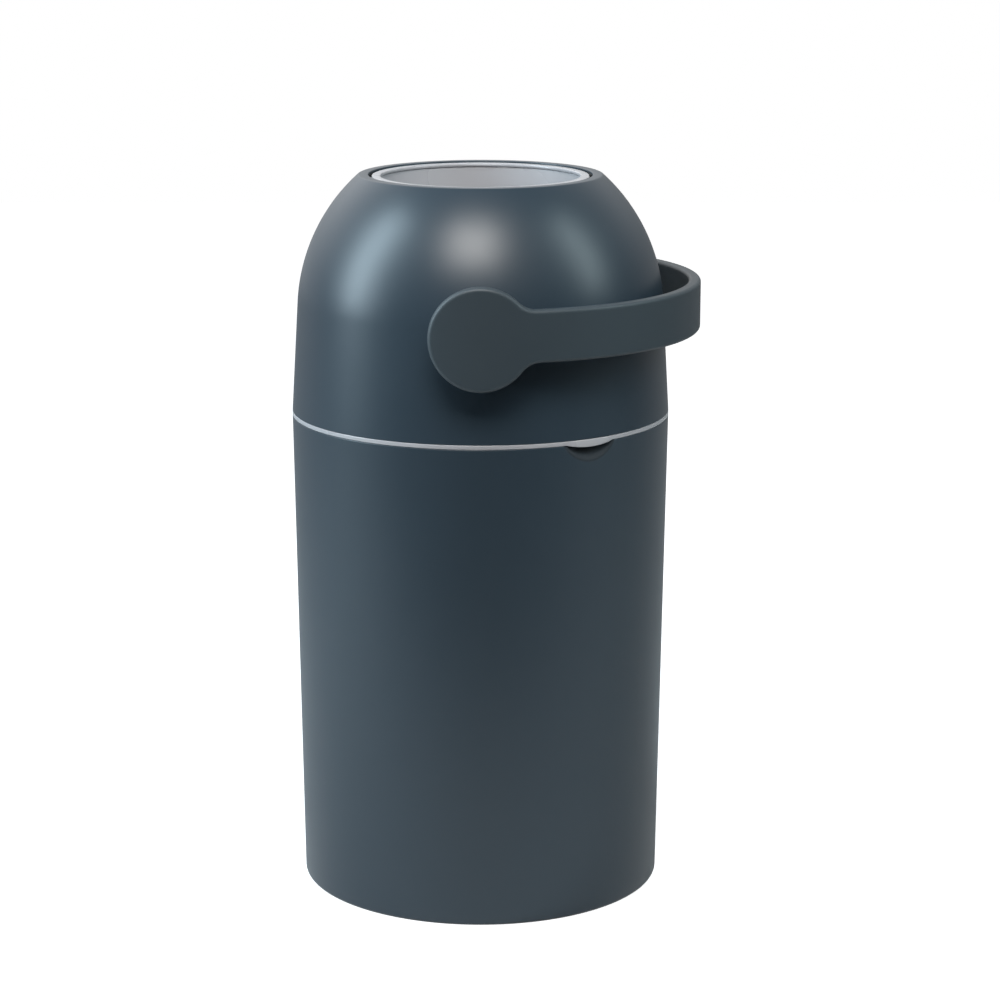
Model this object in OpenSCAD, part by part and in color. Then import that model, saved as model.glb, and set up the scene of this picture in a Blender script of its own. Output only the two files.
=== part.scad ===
// Nappy bin with a flip-over drum. A tapered bucket carries a hinged domed head. Inside the head
// a ball-shaped drum turns on a side-to-side axle when the handle is swung half a turn over the
// top, and drops what its tube holds into the bag below, while the loose piston in the tube
// slides down and becomes the new floor of the mouth.
// The bin stands on z = 0 with Z as its axis. The front is -Y. The handle rests towards +X.

/* [Bucket] */
// Outer radius at the seam between bucket and head
seam_r = 140; // [134:1:150]
// How much smaller the bucket's radius is at the floor than at the seam
foot_in = 5.5; // [1:0.5:16]
// Height of the bucket up to its rim
bucket_h = 356; // [280:1:420]
// Thickness of the bucket's wall and floor
bucket_wall = 2.6; // [2:0.1:3.2]
// Height of the recess under the floor
floor_lift = 4; // [2:0.5:10]
// Width of the foot ring
foot_w = 5; // [4:0.5:10]
// Rounding of the foot's outer edge
foot_round = 3; // [1:0.5:4]
// Number of upright ribs that carry the bag ring
rest_count = 8; // [4:1:12]
// Thickness of a rib
rest_t = 2.4; // [1.6:0.1:4]
// How far a rib reaches in under the bag ring
rest_reach = 5; // [3:0.5:8]
// Rounding between the bucket's floor and its wall, inside
floor_round = 6; // [2:0.5:12]

/* [Bag ring] */
// Height of the bag ring
bag_ring_h = 26.5; // [15:0.5:40]
// Width of the bag ring, from its foot to the edge of its top land
bag_ring_w = 12; // [9:0.5:16]
// Wall of the bag ring
bag_ring_t = 2.4; // [1.6:0.1:3.5]
// Room between bag ring and spigot for the bag's fold
bag_room = 3.2; // [2:0.1:5]

/* [Thumb scoop and lift tab] */
// Direction of the scoop, to the right of the front
scoop_angle = 34; // [0:1:60]
// Width of the scoop at the rim
scoop_w = 42; // [34:1:56]
// Height of the scoop below the rim
scoop_h = 12; // [8:0.5:15]
// Depth of the scoop at the rim
scoop_depth = 8; // [5:0.25:9]
// Width of the lift tab
tab_w = 38; // [28:1:50]
// How far the lift tab hangs below the seam line
tab_drop = 2.2; // [1.5:0.1:4]
// How far the lift tab stands out from the seam line
tab_proud = 0.7; // [0:0.1:2]
// Gap between the lift tab and the scoop
tab_gap = 0.6; // [0.4:0.1:1.2]

/* [Head] */
// Height of the light seam line, the edge of the base plate
seam_h = 3; // [2.5:0.1:5]
// Height of the dome's skirt, from the seam line to the dome's centre
skirt_h = 72.8; // [66:0.1:84]
// How much smaller the dome's radius is than the seam's
dome_in = 4.5; // [0:0.5:12]
// Wall of the dome
dome_wall = 3; // [2.4:0.1:4]
// Radius of the round mouth
mouth_r = 82.4; // [76:0.1:92]
// Rounding of the mouth's outer edge
mouth_round = 2.5; // [1:0.25:3]
// Height of the axle above the dome's centre
axle_rise = 5.5; // [4:0.5:9]
// Number of screws and screw bosses in the head
screw_count = 6; // [4:1:8]
// Depth of the spigot that drops into the bucket
spigot_h = 6; // [4:0.5:9]
// Wall of the spigot
spigot_wall = 2.4; // [1.6:0.1:3]
// Gap between the spigot and the bucket's wall
spigot_gap = 0.8; // [0.5:0.1:1.5]
// Wall of the bowl round the ball
bowl_wall = 3; // [2:0.1:4]
// Width of the gasket over the bag ring
gasket_w = 6.5; // [4:0.5:8]
// Thickness of the gasket
gasket_t = 2.8; // [2:0.1:4]
// Height of the stiffening ribs on the base plate
plate_rib_h = 4; // [2:0.5:8]
// Thickness of ribs and webs in the head and the piston
rib_t = 2.4; // [1.6:0.1:3]
// Thickness of the two ball seals
seal_t = 3; // [2:0.1:3]
// Height of the two ball seals
seal_h = 6; // [4:0.5:8]
// Thickness of the foot that holds a ball seal
seal_foot_t = 1.6; // [1:0.1:2.4]

/* [Hinge] */
// Radius of the hinge pin
pin_r = 2.5; // [2:0.1:3]
// Wall of the hinge barrels
barrel_wall = 3.5; // [2.5:0.1:5]
// Width of the head's knuckle
knuckle_w = 25; // [16:1:36]
// Width of each ear on the bucket
ear_w = 10; // [6:1:16]
// Depth of the gusset under each ear
ear_drop = 26; // [16:1:40]
// How far the head opens before its heel meets the bucket
open_angle = 70; // [50:1:90]
// Thickness of the heel
heel_t = 3; // [2:0.5:5]

/* [Drum] */
// Air between the ball and the dome, straight up from the axle
ball_air = 2.6; // [1.5:0.1:4]
// Air between the ball and the mouth's lip, and round the ball in its bowl
ball_run = 0.6; // [0.5:0.1:2]
// Wall of the ball shells
ball_wall = 2.5; // [2:0.1:3.5]
// Gap between the drum's rim and the mouth
mouth_gap = 2.4; // [2:0.1:5]
// Width of the light rim ring, seen from above
rim_w = 7.2; // [6:0.1:11]
// Thickness of the rim ring
rim_t = 3; // [2:0.1:4.5]
// How far the rim ring reaches in over the tube's bore
rim_lip = 1.6; // [1:0.1:3]
// How far the rim ring lies below the edge of the mouth
rim_recess = 0.8; // [0:0.1:3]
// Rounding of the rim ring's edges
rim_round = 1.2; // [0.6:0.1:1.4]
// Wall of the drum's tube
tube_wall = 2.5; // [2:0.1:3.5]
// Outer radius of the two side sockets on the tube
socket_r = 19; // [17:0.5:24]
// Depth of the well for the axle screw's head
well_h = 9; // [6:0.5:12]
// Thickness of the web that the axle screw clamps
web_t = 12; // [6:0.5:16]

/* [Axles] */
// Radius of the axle journals
journal_r = 16; // [14:0.5:18]
// Wall of the bushes
bush_wall = 3; // [2:0.1:4]
// Radius of the dome's bosses and of the axle hubs
boss_r = 30; // [27:0.5:34]
// How far the dome's bosses stand out from the dome
collar_h = 3; // [2:0.1:6]
// Radius of the drive ends
drive_r = 13; // [11:0.5:14]
// Half width across the flats of the drive ends
drive_flat = 10; // [8:0.5:10.5]
// Radius of the stop pegs
stop_r = 2.4; // [1.6:0.1:2.8]
// Length of the stop pegs
stop_h = 4.3; // [3:0.1:6]
// Depth of the key that turns the handle
key_h = 4.3; // [3:0.1:5]

/* [Handle] */
// Free space between the dome and the handle
handle_gap = 18; // [14:0.5:30]
// Thickness of the handle
handle_t = 9; // [7.5:0.5:12]
// Height of the handle's band
band_h = 37; // [26:1:44]
// How far the middle of the band lies above the middle of the discs
band_up = 2; // [0:0.1:6]
// Radius of the handle's discs
disc_r = 36.75; // [34:0.25:44]
// Radius of the blend between disc and band
blend_r = 17; // [5:0.5:20]
// Rounding of the handle's edges
handle_round = 2.6; // [1.5:0.1:3.7]
// Thickness left over the tip of the axle screw
disc_skin = 2.5; // [1.5:0.1:4]

/* [Piston] */
// Height of the piston
piston_h = 36; // [28:1:50]
// Wall of the piston's shells
piston_wall = 2.5; // [2:0.1:3.5]
// Gap between the piston's shells and the tube
piston_gap = 0.8; // [0.5:0.1:1.5]
// Rounding of the piston's edges
piston_round = 1; // [0.5:0.25:3]
// Radius of the hole in the steel weight
weight_hole_r = 10; // [5:1:30]
// Height of the sealing ring
ring_h = 4; // [3:0.5:6]
// Thickness of the sealing ring
ring_t = 3; // [2:0.1:4]
// Thickness of the steel weight
weight_t = 4; // [2:0.5:6]

/* [Fasteners] */
// Shank radius of the head screws
screw_r = 1.95; // [1.4:0.05:2.4]
// Length of the head screws below the head
screw_l = 20; // [14:1:28]
// Head radius of the head screws
screw_head_r = 3.5; // [3:0.1:4]
// Head height of the head screws
screw_head_h = 2.4; // [1.8:0.1:3]
// Wall of the bosses round the head screws
screw_boss_wall = 3.5; // [2.5:0.1:4]
// Shank radius of the axle screws
bolt_r = 2.5; // [2:0.1:3]
// Head radius of the axle screws
bolt_head_r = 4.75; // [4:0.25:5.5]
// Head height of the axle screws
bolt_head_h = 3.2; // [2.5:0.1:4]
// Radius of the plugs over the axle screws
plug_r = 7; // [6:0.25:9]

/* [Hidden] */
$fn = 72;

dark = [0.16, 0.20, 0.23];
dark_inner = [0.12, 0.14, 0.16];
light = [0.72, 0.72, 0.75];
white = [0.85, 0.85, 0.82];
black_rubber = [0.07, 0.07, 0.08];
steel = [0.62, 0.62, 0.64];

// Clearances
fit = 0.05;         // a pressed or screwed joint inside one body
slip = 0.15;        // an easy joint inside one body
run = 0.06;         // a shaft turning in its bore
rest_gap = 0.2;     // flat faces that part when something moves
soft_gap = 0.4;     // a seal next to what slides past it
near_gap = 1;       // parts that pass each other
end_gap = 0.4;      // at the ends of knuckles, plugs and axles
eps = 0.01;         // how far a cut runs past a flush face
over = 1;           // how far a cutter runs past a wall, and a boss sinks into one

// Heights above the floor
plate_z = bucket_h + rest_gap;
skirt_z = plate_z + seam_h;
dome_z = skirt_z + skirt_h;
axle_z = dome_z + axle_rise;
hinge_z = plate_z + seam_h / 2;
floor_z = floor_lift + bucket_wall;

// The bucket's side is a cone; its foot rounding is tangent to the floor and to the cone
foot_r = seam_r - foot_in;
dome_r = seam_r - dome_in;
tilt = atan((seam_r - foot_r) / bucket_h);
foot_cx = foot_r - foot_round * (1 - sin(tilt)) / cos(tilt);
wall_in = bucket_wall / cos(tilt);
rim_in_r = seam_r - wall_in;

// The ball fills the dome from its own, higher, centre
ball_r = dome_r - dome_wall - axle_rise - ball_air;
sweep_r = ball_r + ball_run;
rim_r = mouth_r - mouth_gap;
lip_r = rim_r - rim_w;
tube_r = lip_r + rim_lip;
tube_out_r = tube_r + tube_wall;
rim_up = sqrt(ball_r * ball_r - rim_r * rim_r);
seat_up = rim_up - rim_t;
tongue_t = 1;
tongue_h = 2;
tongue_r = rim_r - 0.8 * tongue_t;
mouth_z = axle_z + rim_up + rim_recess;
lip_z = axle_z + sqrt(sweep_r * sweep_r - mouth_r * mouth_r);

// Rings of the base plate, from the rim inwards
spigot_r = rim_in_r - spigot_gap;
spigot_in_r = spigot_r - spigot_wall;
screw_ring_r = spigot_in_r - screw_head_r - soft_gap;
gasket_r = screw_ring_r - screw_head_r - soft_gap;
screw_boss_r = screw_r + screw_boss_wall;
screw_boss_h = screw_l - seam_h + dome_wall;
screw_start = scoop_angle - 90 + 180 / screw_count;

// The bag ring stands under the gasket
ring_top_z = plate_z - gasket_t - soft_gap;
ring_z = ring_top_z - bag_ring_h;
ring_out_r = spigot_in_r - bag_room;
ring_in_r = ring_out_r - bag_ring_w;

// The scoop is the cut of a ball set outside the rim
scoop_half = scoop_w / 2;
scoop_chord = seam_r * cos(asin(scoop_half / seam_r));
scoop_e = scoop_chord - seam_r + scoop_depth;
scoop_q = (scoop_e * scoop_e + scoop_half * scoop_half) / (2 * scoop_e);
scoop_x = seam_r - scoop_depth + scoop_q;
scoop_up = (scoop_q * scoop_q - scoop_h * scoop_h - pow(scoop_x - seam_r, 2)) / (2 * scoop_h);
scoop_r = sqrt(scoop_q * scoop_q + scoop_up * scoop_up);
tab_arc_r = (tab_w * tab_w / 4 + tab_drop * tab_drop) / (2 * tab_drop);

// Hinge. The heel stands under the knuckle and comes down at 45 degrees on the bucket's wall
barrel_r = pin_r + barrel_wall;
hinge_reach = barrel_r + near_gap;
hinge_r = seam_r + hinge_reach;
ear_y = knuckle_w / 2 + end_gap + ear_w / 2;
ear_root = 6;
heel_a = 45;
heel_l = (hinge_reach - rest_gap) / cos(heel_a) - heel_t / 2;

// Axle stack, as distances from the bin's axis
bush_flange_t = 1.4;
bush_flange_w = 3.5;
boss_y = ball_r + near_gap + bush_flange_t;
bush_r = journal_r + run + bush_wall;
collar_y = dome_r + collar_h;
hub_y = collar_y + near_gap;
socket_end_y = sqrt(ball_r * ball_r - socket_r * socket_r) - rest_gap;
journal_y = socket_end_y + end_gap;
head_seat_y = tube_r + well_h;
socket_floor_y = head_seat_y + web_t;
drive_y = socket_floor_y + near_gap;
handle_in_r = dome_r + handle_gap;
handle_r = handle_in_r + handle_t;
bolt_tip_y = handle_r - disc_skin;
plug_y = head_seat_y - bolt_head_h - end_gap;
stop_ring_r = (bush_r + boss_r) / 2;
stop_gap = 0.5;

// Piston
piston_r = tube_r - piston_gap;
ring_r = tube_r - soft_gap;
groove_r = ring_r - ring_t;
piston_low = -seat_up + rest_gap;
piston_mid = piston_low + piston_h / 2;
weight_r = groove_r - piston_wall - soft_gap;
weight_land = 4;    // how far the weight lies bare round its hole, inside the shells' ribs

// Points of an arc in a plane
function arc(cx, cy, r, from, to, n) =
    [for (i = [0:n]) let (a = from + (to - from) * i / n) [cx + r * cos(a), cy + r * sin(a)]];

function bucket_r(z) = foot_r + (seam_r - foot_r) * z / bucket_h;

// Puts its children at the hinge: +X outwards, Y along the pin
module at_hinge() {
    rotate([0, 0, scoop_angle + 90]) translate([hinge_r, 0, hinge_z]) children();
}

// Puts its children on the axle: +Z outwards to the front, or to the rear when mirrored
module on_axle(rear = false) {
    mirror([0, rear ? 1 : 0, 0]) translate([0, 0, axle_z]) rotate([90, 0, 0]) children();
}

module at_scoop() {
    rotate([0, 0, scoop_angle - 90]) translate([scoop_x, 0, bucket_h + scoop_up]) children();
}

module head_screw_places() {
    for (i = [0:screw_count - 1])
        rotate([0, 0, screw_start + i * 360 / screw_count]) translate([screw_ring_r, 0, 0]) children();
}

module ring(outer, inner, h) {
    difference() {
        cylinder(r = outer, h = h);
        translate([0, 0, -eps]) cylinder(r = inner, h = h + 2 * eps);
    }
}

// A round bar with two flats
module double_d(r, flat, h) {
    linear_extrude(h) intersection() {
        circle(r);
        square([2 * flat, 2 * r + over], center = true);
    }
}

module barrel(w) {
    rotate([90, 0, 0]) cylinder(r = barrel_r, h = w, center = true);
}

// ---- Bucket

module pail_outside() {
    rotate_extrude() polygon(concat(
        [[0, 0]],
        arc(foot_cx, foot_round, foot_round, -90, -tilt, 5),
        [[seam_r, bucket_h], [0, bucket_h]]
    ));
}

module pail_inside() {
    in_r = bucket_r(floor_z) - wall_in;
    corner_x = in_r - floor_round * (1 - sin(tilt)) / cos(tilt);
    rotate_extrude() polygon(concat(
        [[0, floor_z]],
        arc(corner_x, floor_z + floor_round, floor_round, -90, -tilt, 5),
        [[rim_in_r, bucket_h + eps], [0, bucket_h + eps]]
    ));
}

// An upright rib against the wall, whose top carries the bag ring
module bag_rest() {
    low_in = bucket_r(floor_z) - wall_in - rest_reach;
    top_in = ring_out_r - rest_reach;
    rotate([90, 0, 0]) linear_extrude(rest_t, center = true) polygon([
        [min(low_in, top_in), floor_z - bucket_wall / 2],
        [bucket_r(floor_z) - wall_in / 2, floor_z - bucket_wall / 2],
        [bucket_r(ring_z) - wall_in / 2, ring_z],
        [top_in, ring_z]
    ]);
}

// An ear of the hinge, reaching into the bucket's wall, which is cut back later
module ear() {
    top = -seam_h / 2 - rest_gap - end_gap;
    away = atan(ear_drop / (hinge_reach + barrel_r));
    barrel(ear_w);
    rotate([90, 0, 0]) linear_extrude(ear_w, center = true) polygon([
        [-hinge_reach - ear_root, top],
        [0, top],
        [barrel_r * cos(90 - away), -barrel_r * sin(90 - away)],
        [-hinge_reach - over, -ear_drop],
        [-hinge_reach - ear_root, -ear_drop]
    ]);
}

module bucket() {
    color(dark) difference() {
        union() {
            difference() {
                union() {
                    pail_outside();
                    at_hinge() for (s = [-1, 1]) translate([0, s * ear_y, 0]) ear();
                }
                pail_inside();
            }
            for (i = [0:rest_count - 1])
                rotate([0, 0, (i + 0.5) * 360 / rest_count]) bag_rest();
            intersection() {
                at_scoop() sphere(scoop_r + bucket_wall);
                pail_outside();
            }
        }
        translate([0, 0, -eps]) cylinder(r = foot_cx - foot_w, h = floor_lift + eps);
        at_scoop() sphere(scoop_r);
        at_hinge() rotate([90, 0, 0]) cylinder(r = pin_r + fit, h = 4 * ear_y, center = true);
    }
}

// The bag is drawn up through this ring and folded over its rounded top
module bag_ring() {
    t = bag_ring_t;
    wall_r = ring_out_r - rest_reach + over;
    color(light) rotate_extrude() polygon(concat(
        [[wall_r - t, ring_z], [ring_out_r, ring_z], [ring_out_r, ring_z + t], [wall_r, ring_z + t]],
        [[wall_r, ring_top_z - 3 * t]],
        [[wall_r + t, ring_top_z - 2 * t]],
        arc(wall_r + t / 2, ring_top_z - t / 2, t / 2, 0, 90, 3),
        arc(ring_in_r + t, ring_top_z - t, t, 90, 180, 4),
        [[ring_in_r, ring_top_z - 2 * t], [wall_r - t, ring_top_z - 2 * t]]
    ));
}

module hinge_pin() {
    half = ear_y + ear_w / 2 + near_gap;
    bevel = pin_r / 5;
    color(steel) at_hinge() rotate([90, 0, 0]) rotate_extrude() polygon([
        [0, -half], [pin_r - bevel, -half], [pin_r, bevel - half],
        [pin_r, half - bevel], [pin_r - bevel, half], [0, half]
    ]);
}

// ---- Head

// A round-topped solid: a cone tangent to a ball, cut flat at a height
module dome_solid(foot, r, low_z, top_z) {
    run_in = atan2(low_z - dome_z, foot);
    touch = run_in + acos(r / norm([foot, low_z - dome_z]));
    touch_z = dome_z + r * sin(touch);
    translate([0, 0, low_z]) cylinder(r1 = foot, r2 = r * cos(touch), h = touch_z - low_z);
    intersection() {
        translate([0, 0, dome_z]) sphere(r);
        translate([0, 0, touch_z]) cylinder(r = r + over, h = top_z - touch_z);
    }
}

// What is cut away to round the mouth's outer edge: tangent to the flat lip and to the dome
module mouth_rounding() {
    past = dome_r + over;
    up = mouth_z - mouth_round - dome_z;
    cx = sqrt(pow(dome_r - mouth_round, 2) - up * up);
    away = atan2(up, cx);
    rotate_extrude() polygon(concat(
        arc(cx, mouth_z - mouth_round, mouth_round, 90, away, 5),
        [[past * cos(away), dome_z + past * sin(away)], [cx, mouth_z + over]]
    ));
}

module screw_boss() {
    cylinder(r = screw_boss_r, h = screw_boss_h);
    translate([0, -rib_t / 2, 0]) cube([seam_r - dome_wall / 2 - screw_ring_r, rib_t, screw_boss_h]);
}

module dome() {
    color(dark) difference() {
        union() {
            difference() {
                dome_solid(seam_r, dome_r, skirt_z, mouth_z);
                dome_solid(seam_r - dome_wall, dome_r - dome_wall, skirt_z - eps, lip_z);
                cylinder(r = mouth_r, h = mouth_z + over);
                mouth_rounding();
            }
            for (rear = [false, true]) on_axle(rear) translate([0, 0, boss_y])
                cylinder(r = boss_r, h = collar_y - boss_y);
            for (rear = [false, true]) on_axle(rear) translate([0, -stop_ring_r, collar_y - over])
                cylinder(r = stop_r, h = stop_h + over);
            intersection() {
                translate([0, 0, skirt_z]) head_screw_places() screw_boss();
                dome_solid(seam_r - dome_wall / 2, dome_r - dome_wall / 2, skirt_z, lip_z);
            }
        }
        for (rear = [false, true]) on_axle(rear) translate([0, 0, boss_y - over])
            cylinder(r = bush_r + fit, h = collar_y - boss_y + 2 * over);
        translate([0, 0, skirt_z - eps]) head_screw_places()
            cylinder(r = screw_r + fit, h = screw_l - seam_h + near_gap);
    }
}

// The floor of the head: its edge is the seam line, its bowl takes the ball
module base_plate() {
    color(light) lift_tab();
    color(light) difference() {
        union() {
            rotate_extrude() polygon([
                [mouth_r, plate_z], [spigot_in_r, plate_z], [spigot_in_r, plate_z - spigot_h],
                [spigot_r, plate_z - spigot_h], [spigot_r, plate_z], [seam_r, plate_z],
                [seam_r, skirt_z], [mouth_r, skirt_z]
            ]);
            intersection() {
                translate([0, 0, axle_z]) sphere(sweep_r + bowl_wall);
                translate([0, 0, axle_z - sweep_r - 2 * bowl_wall])
                    cylinder(r = seam_r, h = skirt_z - axle_z + sweep_r + 2 * bowl_wall);
            }
            at_hinge() knuckle();
            for (i = [0:2 * screw_count - 1])
                rotate([0, 0, screw_start + (i + 0.5) * 180 / screw_count]) plate_rib();
        }
        translate([0, 0, axle_z]) sphere(sweep_r);
        cylinder(r = mouth_r, h = axle_z);
        scoop_room();
        at_hinge() rotate([90, 0, 0]) cylinder(r = pin_r + run, h = knuckle_w + over, center = true);
        translate([0, 0, plate_z - eps]) head_screw_places()
            cylinder(r = screw_r + slip, h = seam_h + 2 * eps);
    }
}

// Where the spigot gives way to the back of the scoop
module scoop_room() {
    reach = sqrt(pow(scoop_r + bucket_wall, 2) - scoop_up * scoop_up) + spigot_gap;
    rotate([0, 0, scoop_angle - 90]) translate([scoop_x, 0, plate_z - 2 * spigot_h])
        cylinder(r = reach, h = 2 * spigot_h);
}

// The tab fills the top of the scoop with a gap all round; its lower edge is a shallow arc
module lift_tab() {
    intersection() {
        at_scoop() sphere(scoop_r - tab_gap);
        translate([0, 0, bucket_h - tab_drop])
            ring(seam_r + tab_proud, seam_r - scoop_depth, tab_drop + rest_gap + seam_h);
        rotate([0, 0, scoop_angle - 90]) translate([0, 0, bucket_h - tab_drop + tab_arc_r])
            rotate([0, 90, 0]) cylinder(r = tab_arc_r, h = seam_r + 2 * tab_proud);
    }
}

// The head's knuckle, with a heel that turns down against the bucket when the head is open
module knuckle() {
    arm = hinge_reach + spigot_wall;
    barrel(knuckle_w);
    translate([-arm, -knuckle_w / 2, -seam_h / 2]) cube([arm, knuckle_w, seam_h]);
    rotate([0, 180 - heel_a - open_angle, 0]) translate([0, -knuckle_w / 2, -heel_t / 2])
        cube([heel_l, knuckle_w, heel_t]);
}

module plate_rib() {
    clear_r = ball_r + soft_gap + seal_t + near_gap;
    from = sqrt(pow(clear_r, 2) - pow(axle_z - skirt_z - plate_rib_h, 2));
    to = screw_ring_r - screw_boss_r - near_gap;
    translate([from, -rib_t / 2, skirt_z - eps]) cube([to - from, rib_t, plate_rib_h]);
}

module rim_gasket() {
    slope = gasket_t / 3;
    color(black_rubber) translate([0, 0, plate_z]) rotate_extrude() polygon([
        [gasket_r, 0], [gasket_r - gasket_w, 0], [gasket_r - gasket_w, slope - gasket_t],
        [gasket_r - gasket_w + slope, -gasket_t], [gasket_r - slope, -gasket_t],
        [gasket_r, slope - gasket_t]
    ]);
}

// A band of a ball shell round the axle's centre, between two heights
module seal_band(low, high, foot_low, foot_high, foot) {
    $fn = 180;
    inner = ball_r + soft_gap;
    translate([0, 0, axle_z]) rotate_extrude() difference() {
        union() {
            intersection() {
                circle(inner + seal_t);
                translate([0, low]) square([ball_r, high - low]);
            }
            translate([0, foot_low]) square([foot, foot_high - foot_low]);
        }
        circle(inner);
    }
}

module top_seal() {
    top = lip_z - axle_z - fit;
    foot = sqrt(pow(dome_r - dome_wall - near_gap, 2) - pow(lip_z - dome_z, 2));
    color(black_rubber) seal_band(top - seal_h, top, top - seal_foot_t, top, foot);
}

module lower_seal() {
    low = skirt_z - axle_z + fit;
    foot = sqrt(pow(sweep_r + bowl_wall, 2) - low * low) + near_gap;
    color(black_rubber) seal_band(low, low + seal_h, low, low + seal_foot_t, foot);
}

// The cross for the driver in a screw's head
module cross_slot(head_r, head_h) {
    w = head_r / 4.4;
    for (a = [0, 90]) rotate([0, 0, a]) translate([-head_r / 2, -w / 2, -eps]) cube([head_r, w, head_h / 2]);
}

module head_screws() {
    color(steel) head_screw_places() translate([0, 0, plate_z - fit]) {
        cylinder(r = screw_r, h = screw_l);
        translate([0, 0, -screw_head_h]) difference() {
            cylinder(r1 = 0.85 * screw_head_r, r2 = screw_head_r, h = screw_head_h);
            cross_slot(screw_head_r, screw_head_h);
        }
    }
}

module bush() {
    color(white) difference() {
        union() {
            translate([0, 0, boss_y]) cylinder(r = bush_r, h = collar_y - boss_y);
            translate([0, 0, boss_y - bush_flange_t]) cylinder(r = bush_r + bush_flange_w, h = bush_flange_t);
        }
        translate([0, 0, boss_y - bush_flange_t - over])
            cylinder(r = journal_r + run, h = collar_y - boss_y + bush_flange_t + 2 * over);
    }
}

module front_bush() { on_axle() bush(); }
module rear_bush() { on_axle(rear = true) bush(); }

// ---- Drum

module drum_tube() {
    color(light) difference() {
        translate([0, 0, axle_z - seat_up + fit]) cylinder(r = tube_out_r, h = 2 * (seat_up - fit));
        translate([0, 0, axle_z - rim_up]) cylinder(r = tube_r, h = 2 * rim_up);
        for (rear = [false, true]) on_axle(rear) cylinder(r = plug_r, h = tube_out_r + over);
    }
}

// Socket between the tube's wall, on which its saddle sits, and the drive end of a stub axle
module socket() {
    color(light) difference() {
        cylinder(r = socket_r, h = socket_end_y);
        rotate([90, 0, 0]) cylinder(r = tube_out_r + fit, h = 4 * socket_r, center = true);
        cylinder(r = plug_r, h = head_seat_y);
        cylinder(r = bolt_r + slip, h = socket_end_y);
        translate([0, 0, socket_floor_y])
            double_d(drive_r + slip, drive_flat + slip, socket_end_y - socket_floor_y + over);
    }
}

module front_socket() { on_axle() socket(); }
module rear_socket() { on_axle(rear = true) socket(); }

// Half of the ball: a shell with a flat seat for the rim ring and half holes for the sockets
module ball_half(with_lap) {
    in_r = ball_r - ball_wall;
    lap_h = 4;
    lap_t = 0.6 * ball_wall;
    difference() {
        union() {
            intersection() {
                difference() {
                    sphere(ball_r);
                    intersection() {
                        sphere(in_r);
                        cylinder(r = ball_r, h = 2 * (seat_up - rim_t), center = true);
                    }
                }
                translate([0, 0, fit]) cylinder(r = ball_r + over, h = seat_up - fit);
            }
            if (with_lap) rotate_extrude() polygon([
                [in_r - slip - lap_t, -lap_h], [in_r - slip, -lap_h], [in_r - slip, fit],
                [in_r + lap_t / 3, fit], [in_r + lap_t / 3, lap_h - over], [in_r - slip - lap_t, lap_h - over]
            ]);
        }
        cylinder(r = tube_out_r + slip, h = ball_r);
        for (s = [-1, 1]) rotate([s * 90, 0, 0]) cylinder(r = socket_r + slip, h = ball_r + over);
        translate([0, 0, seat_up - tongue_h - slip])
            ring(tongue_r + tongue_t / 2 + slip, tongue_r - tongue_t / 2 - slip, tongue_h + over);
    }
}

module upper_ball() {
    color(dark_inner) translate([0, 0, axle_z]) ball_half(true);
}

module lower_ball() {
    color(dark_inner) translate([0, 0, axle_z]) mirror([0, 0, 1]) ball_half(false);
}

// Rim ring: a rounded band over the end of the tube, with a lip that stops the piston and a
// tongue that seats in the ball
module rim_ring() {
    soft = rim_round;
    low = seat_up - tongue_h;
    inner = tongue_r - tongue_t / 2;
    outer = tongue_r + tongue_t / 2;
    rotate_extrude() polygon(concat(
        arc(rim_r - soft, rim_up - soft, soft, 0, 90, 4),
        arc(lip_r + soft, rim_up - soft, soft, 90, 180, 4),
        [[lip_r, seat_up], [inner, seat_up], [inner, low]],
        [[outer, low], [outer, seat_up], [rim_r, seat_up]]
    ));
}

module upper_rim() {
    color(light) translate([0, 0, axle_z]) rim_ring();
}

module lower_rim() {
    color(light) translate([0, 0, axle_z]) mirror([0, 0, 1]) rim_ring();
}

// Stub axle: drive end, journal, hub against the handle's disc, and key into the disc
module axle() {
    color(dark) difference() {
        union() {
            translate([0, 0, drive_y]) double_d(drive_r, drive_flat, hub_y - drive_y);
            translate([0, 0, journal_y]) cylinder(r = journal_r, h = hub_y - journal_y + eps);
            intersection() {
                translate([0, 0, hub_y]) cylinder(r = boss_r, h = handle_r - hub_y);
                rotate([90, 0, 0]) cylinder(r = handle_in_r - fit, h = 4 * boss_r, center = true);
            }
            translate([0, 0, hub_y]) double_d(drive_r, drive_flat, handle_in_r + key_h - hub_y);
        }
        translate([0, 0, drive_y - over]) cylinder(r = bolt_r + slip, h = handle_r);
        translate([0, 0, hub_y - eps]) stop_groove();
    }
}

// Half a turn of groove for the stop peg, with room for the peg at both ends
module stop_groove() {
    half_w = stop_r + stop_gap;
    depth = stop_h - near_gap + stop_gap;
    rotate_extrude(angle = 180, start = 90) translate([stop_ring_r - half_w, 0])
        square([2 * half_w, depth]);
    for (s = [-1, 1]) translate([0, s * stop_ring_r, 0]) cylinder(r = half_w, h = depth);
}

module front_axle() { on_axle() axle(); }
module rear_axle() { on_axle(rear = true) axle(); }

module axle_screws() {
    length = bolt_tip_y - head_seat_y + fit;
    color(steel) for (rear = [false, true]) on_axle(rear) translate([0, 0, head_seat_y - fit]) {
        cylinder(r = bolt_r, h = length);
        translate([0, 0, -bolt_head_h]) difference() {
            cylinder(r = bolt_head_r, h = bolt_head_h);
            cross_slot(bolt_head_r, bolt_head_h);
        }
    }
}

// Plugs whose faces follow the tube's bore
module screw_plugs() {
    color(light) for (rear = [false, true]) on_axle(rear) difference() {
        cylinder(r = plug_r - fit, h = plug_y);
        rotate([90, 0, 0]) cylinder(r = tube_r, h = 4 * plug_r, center = true);
    }
}

// ---- Handle: one band, lofted through stations from the tip of one disc to the tip of the other

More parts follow.
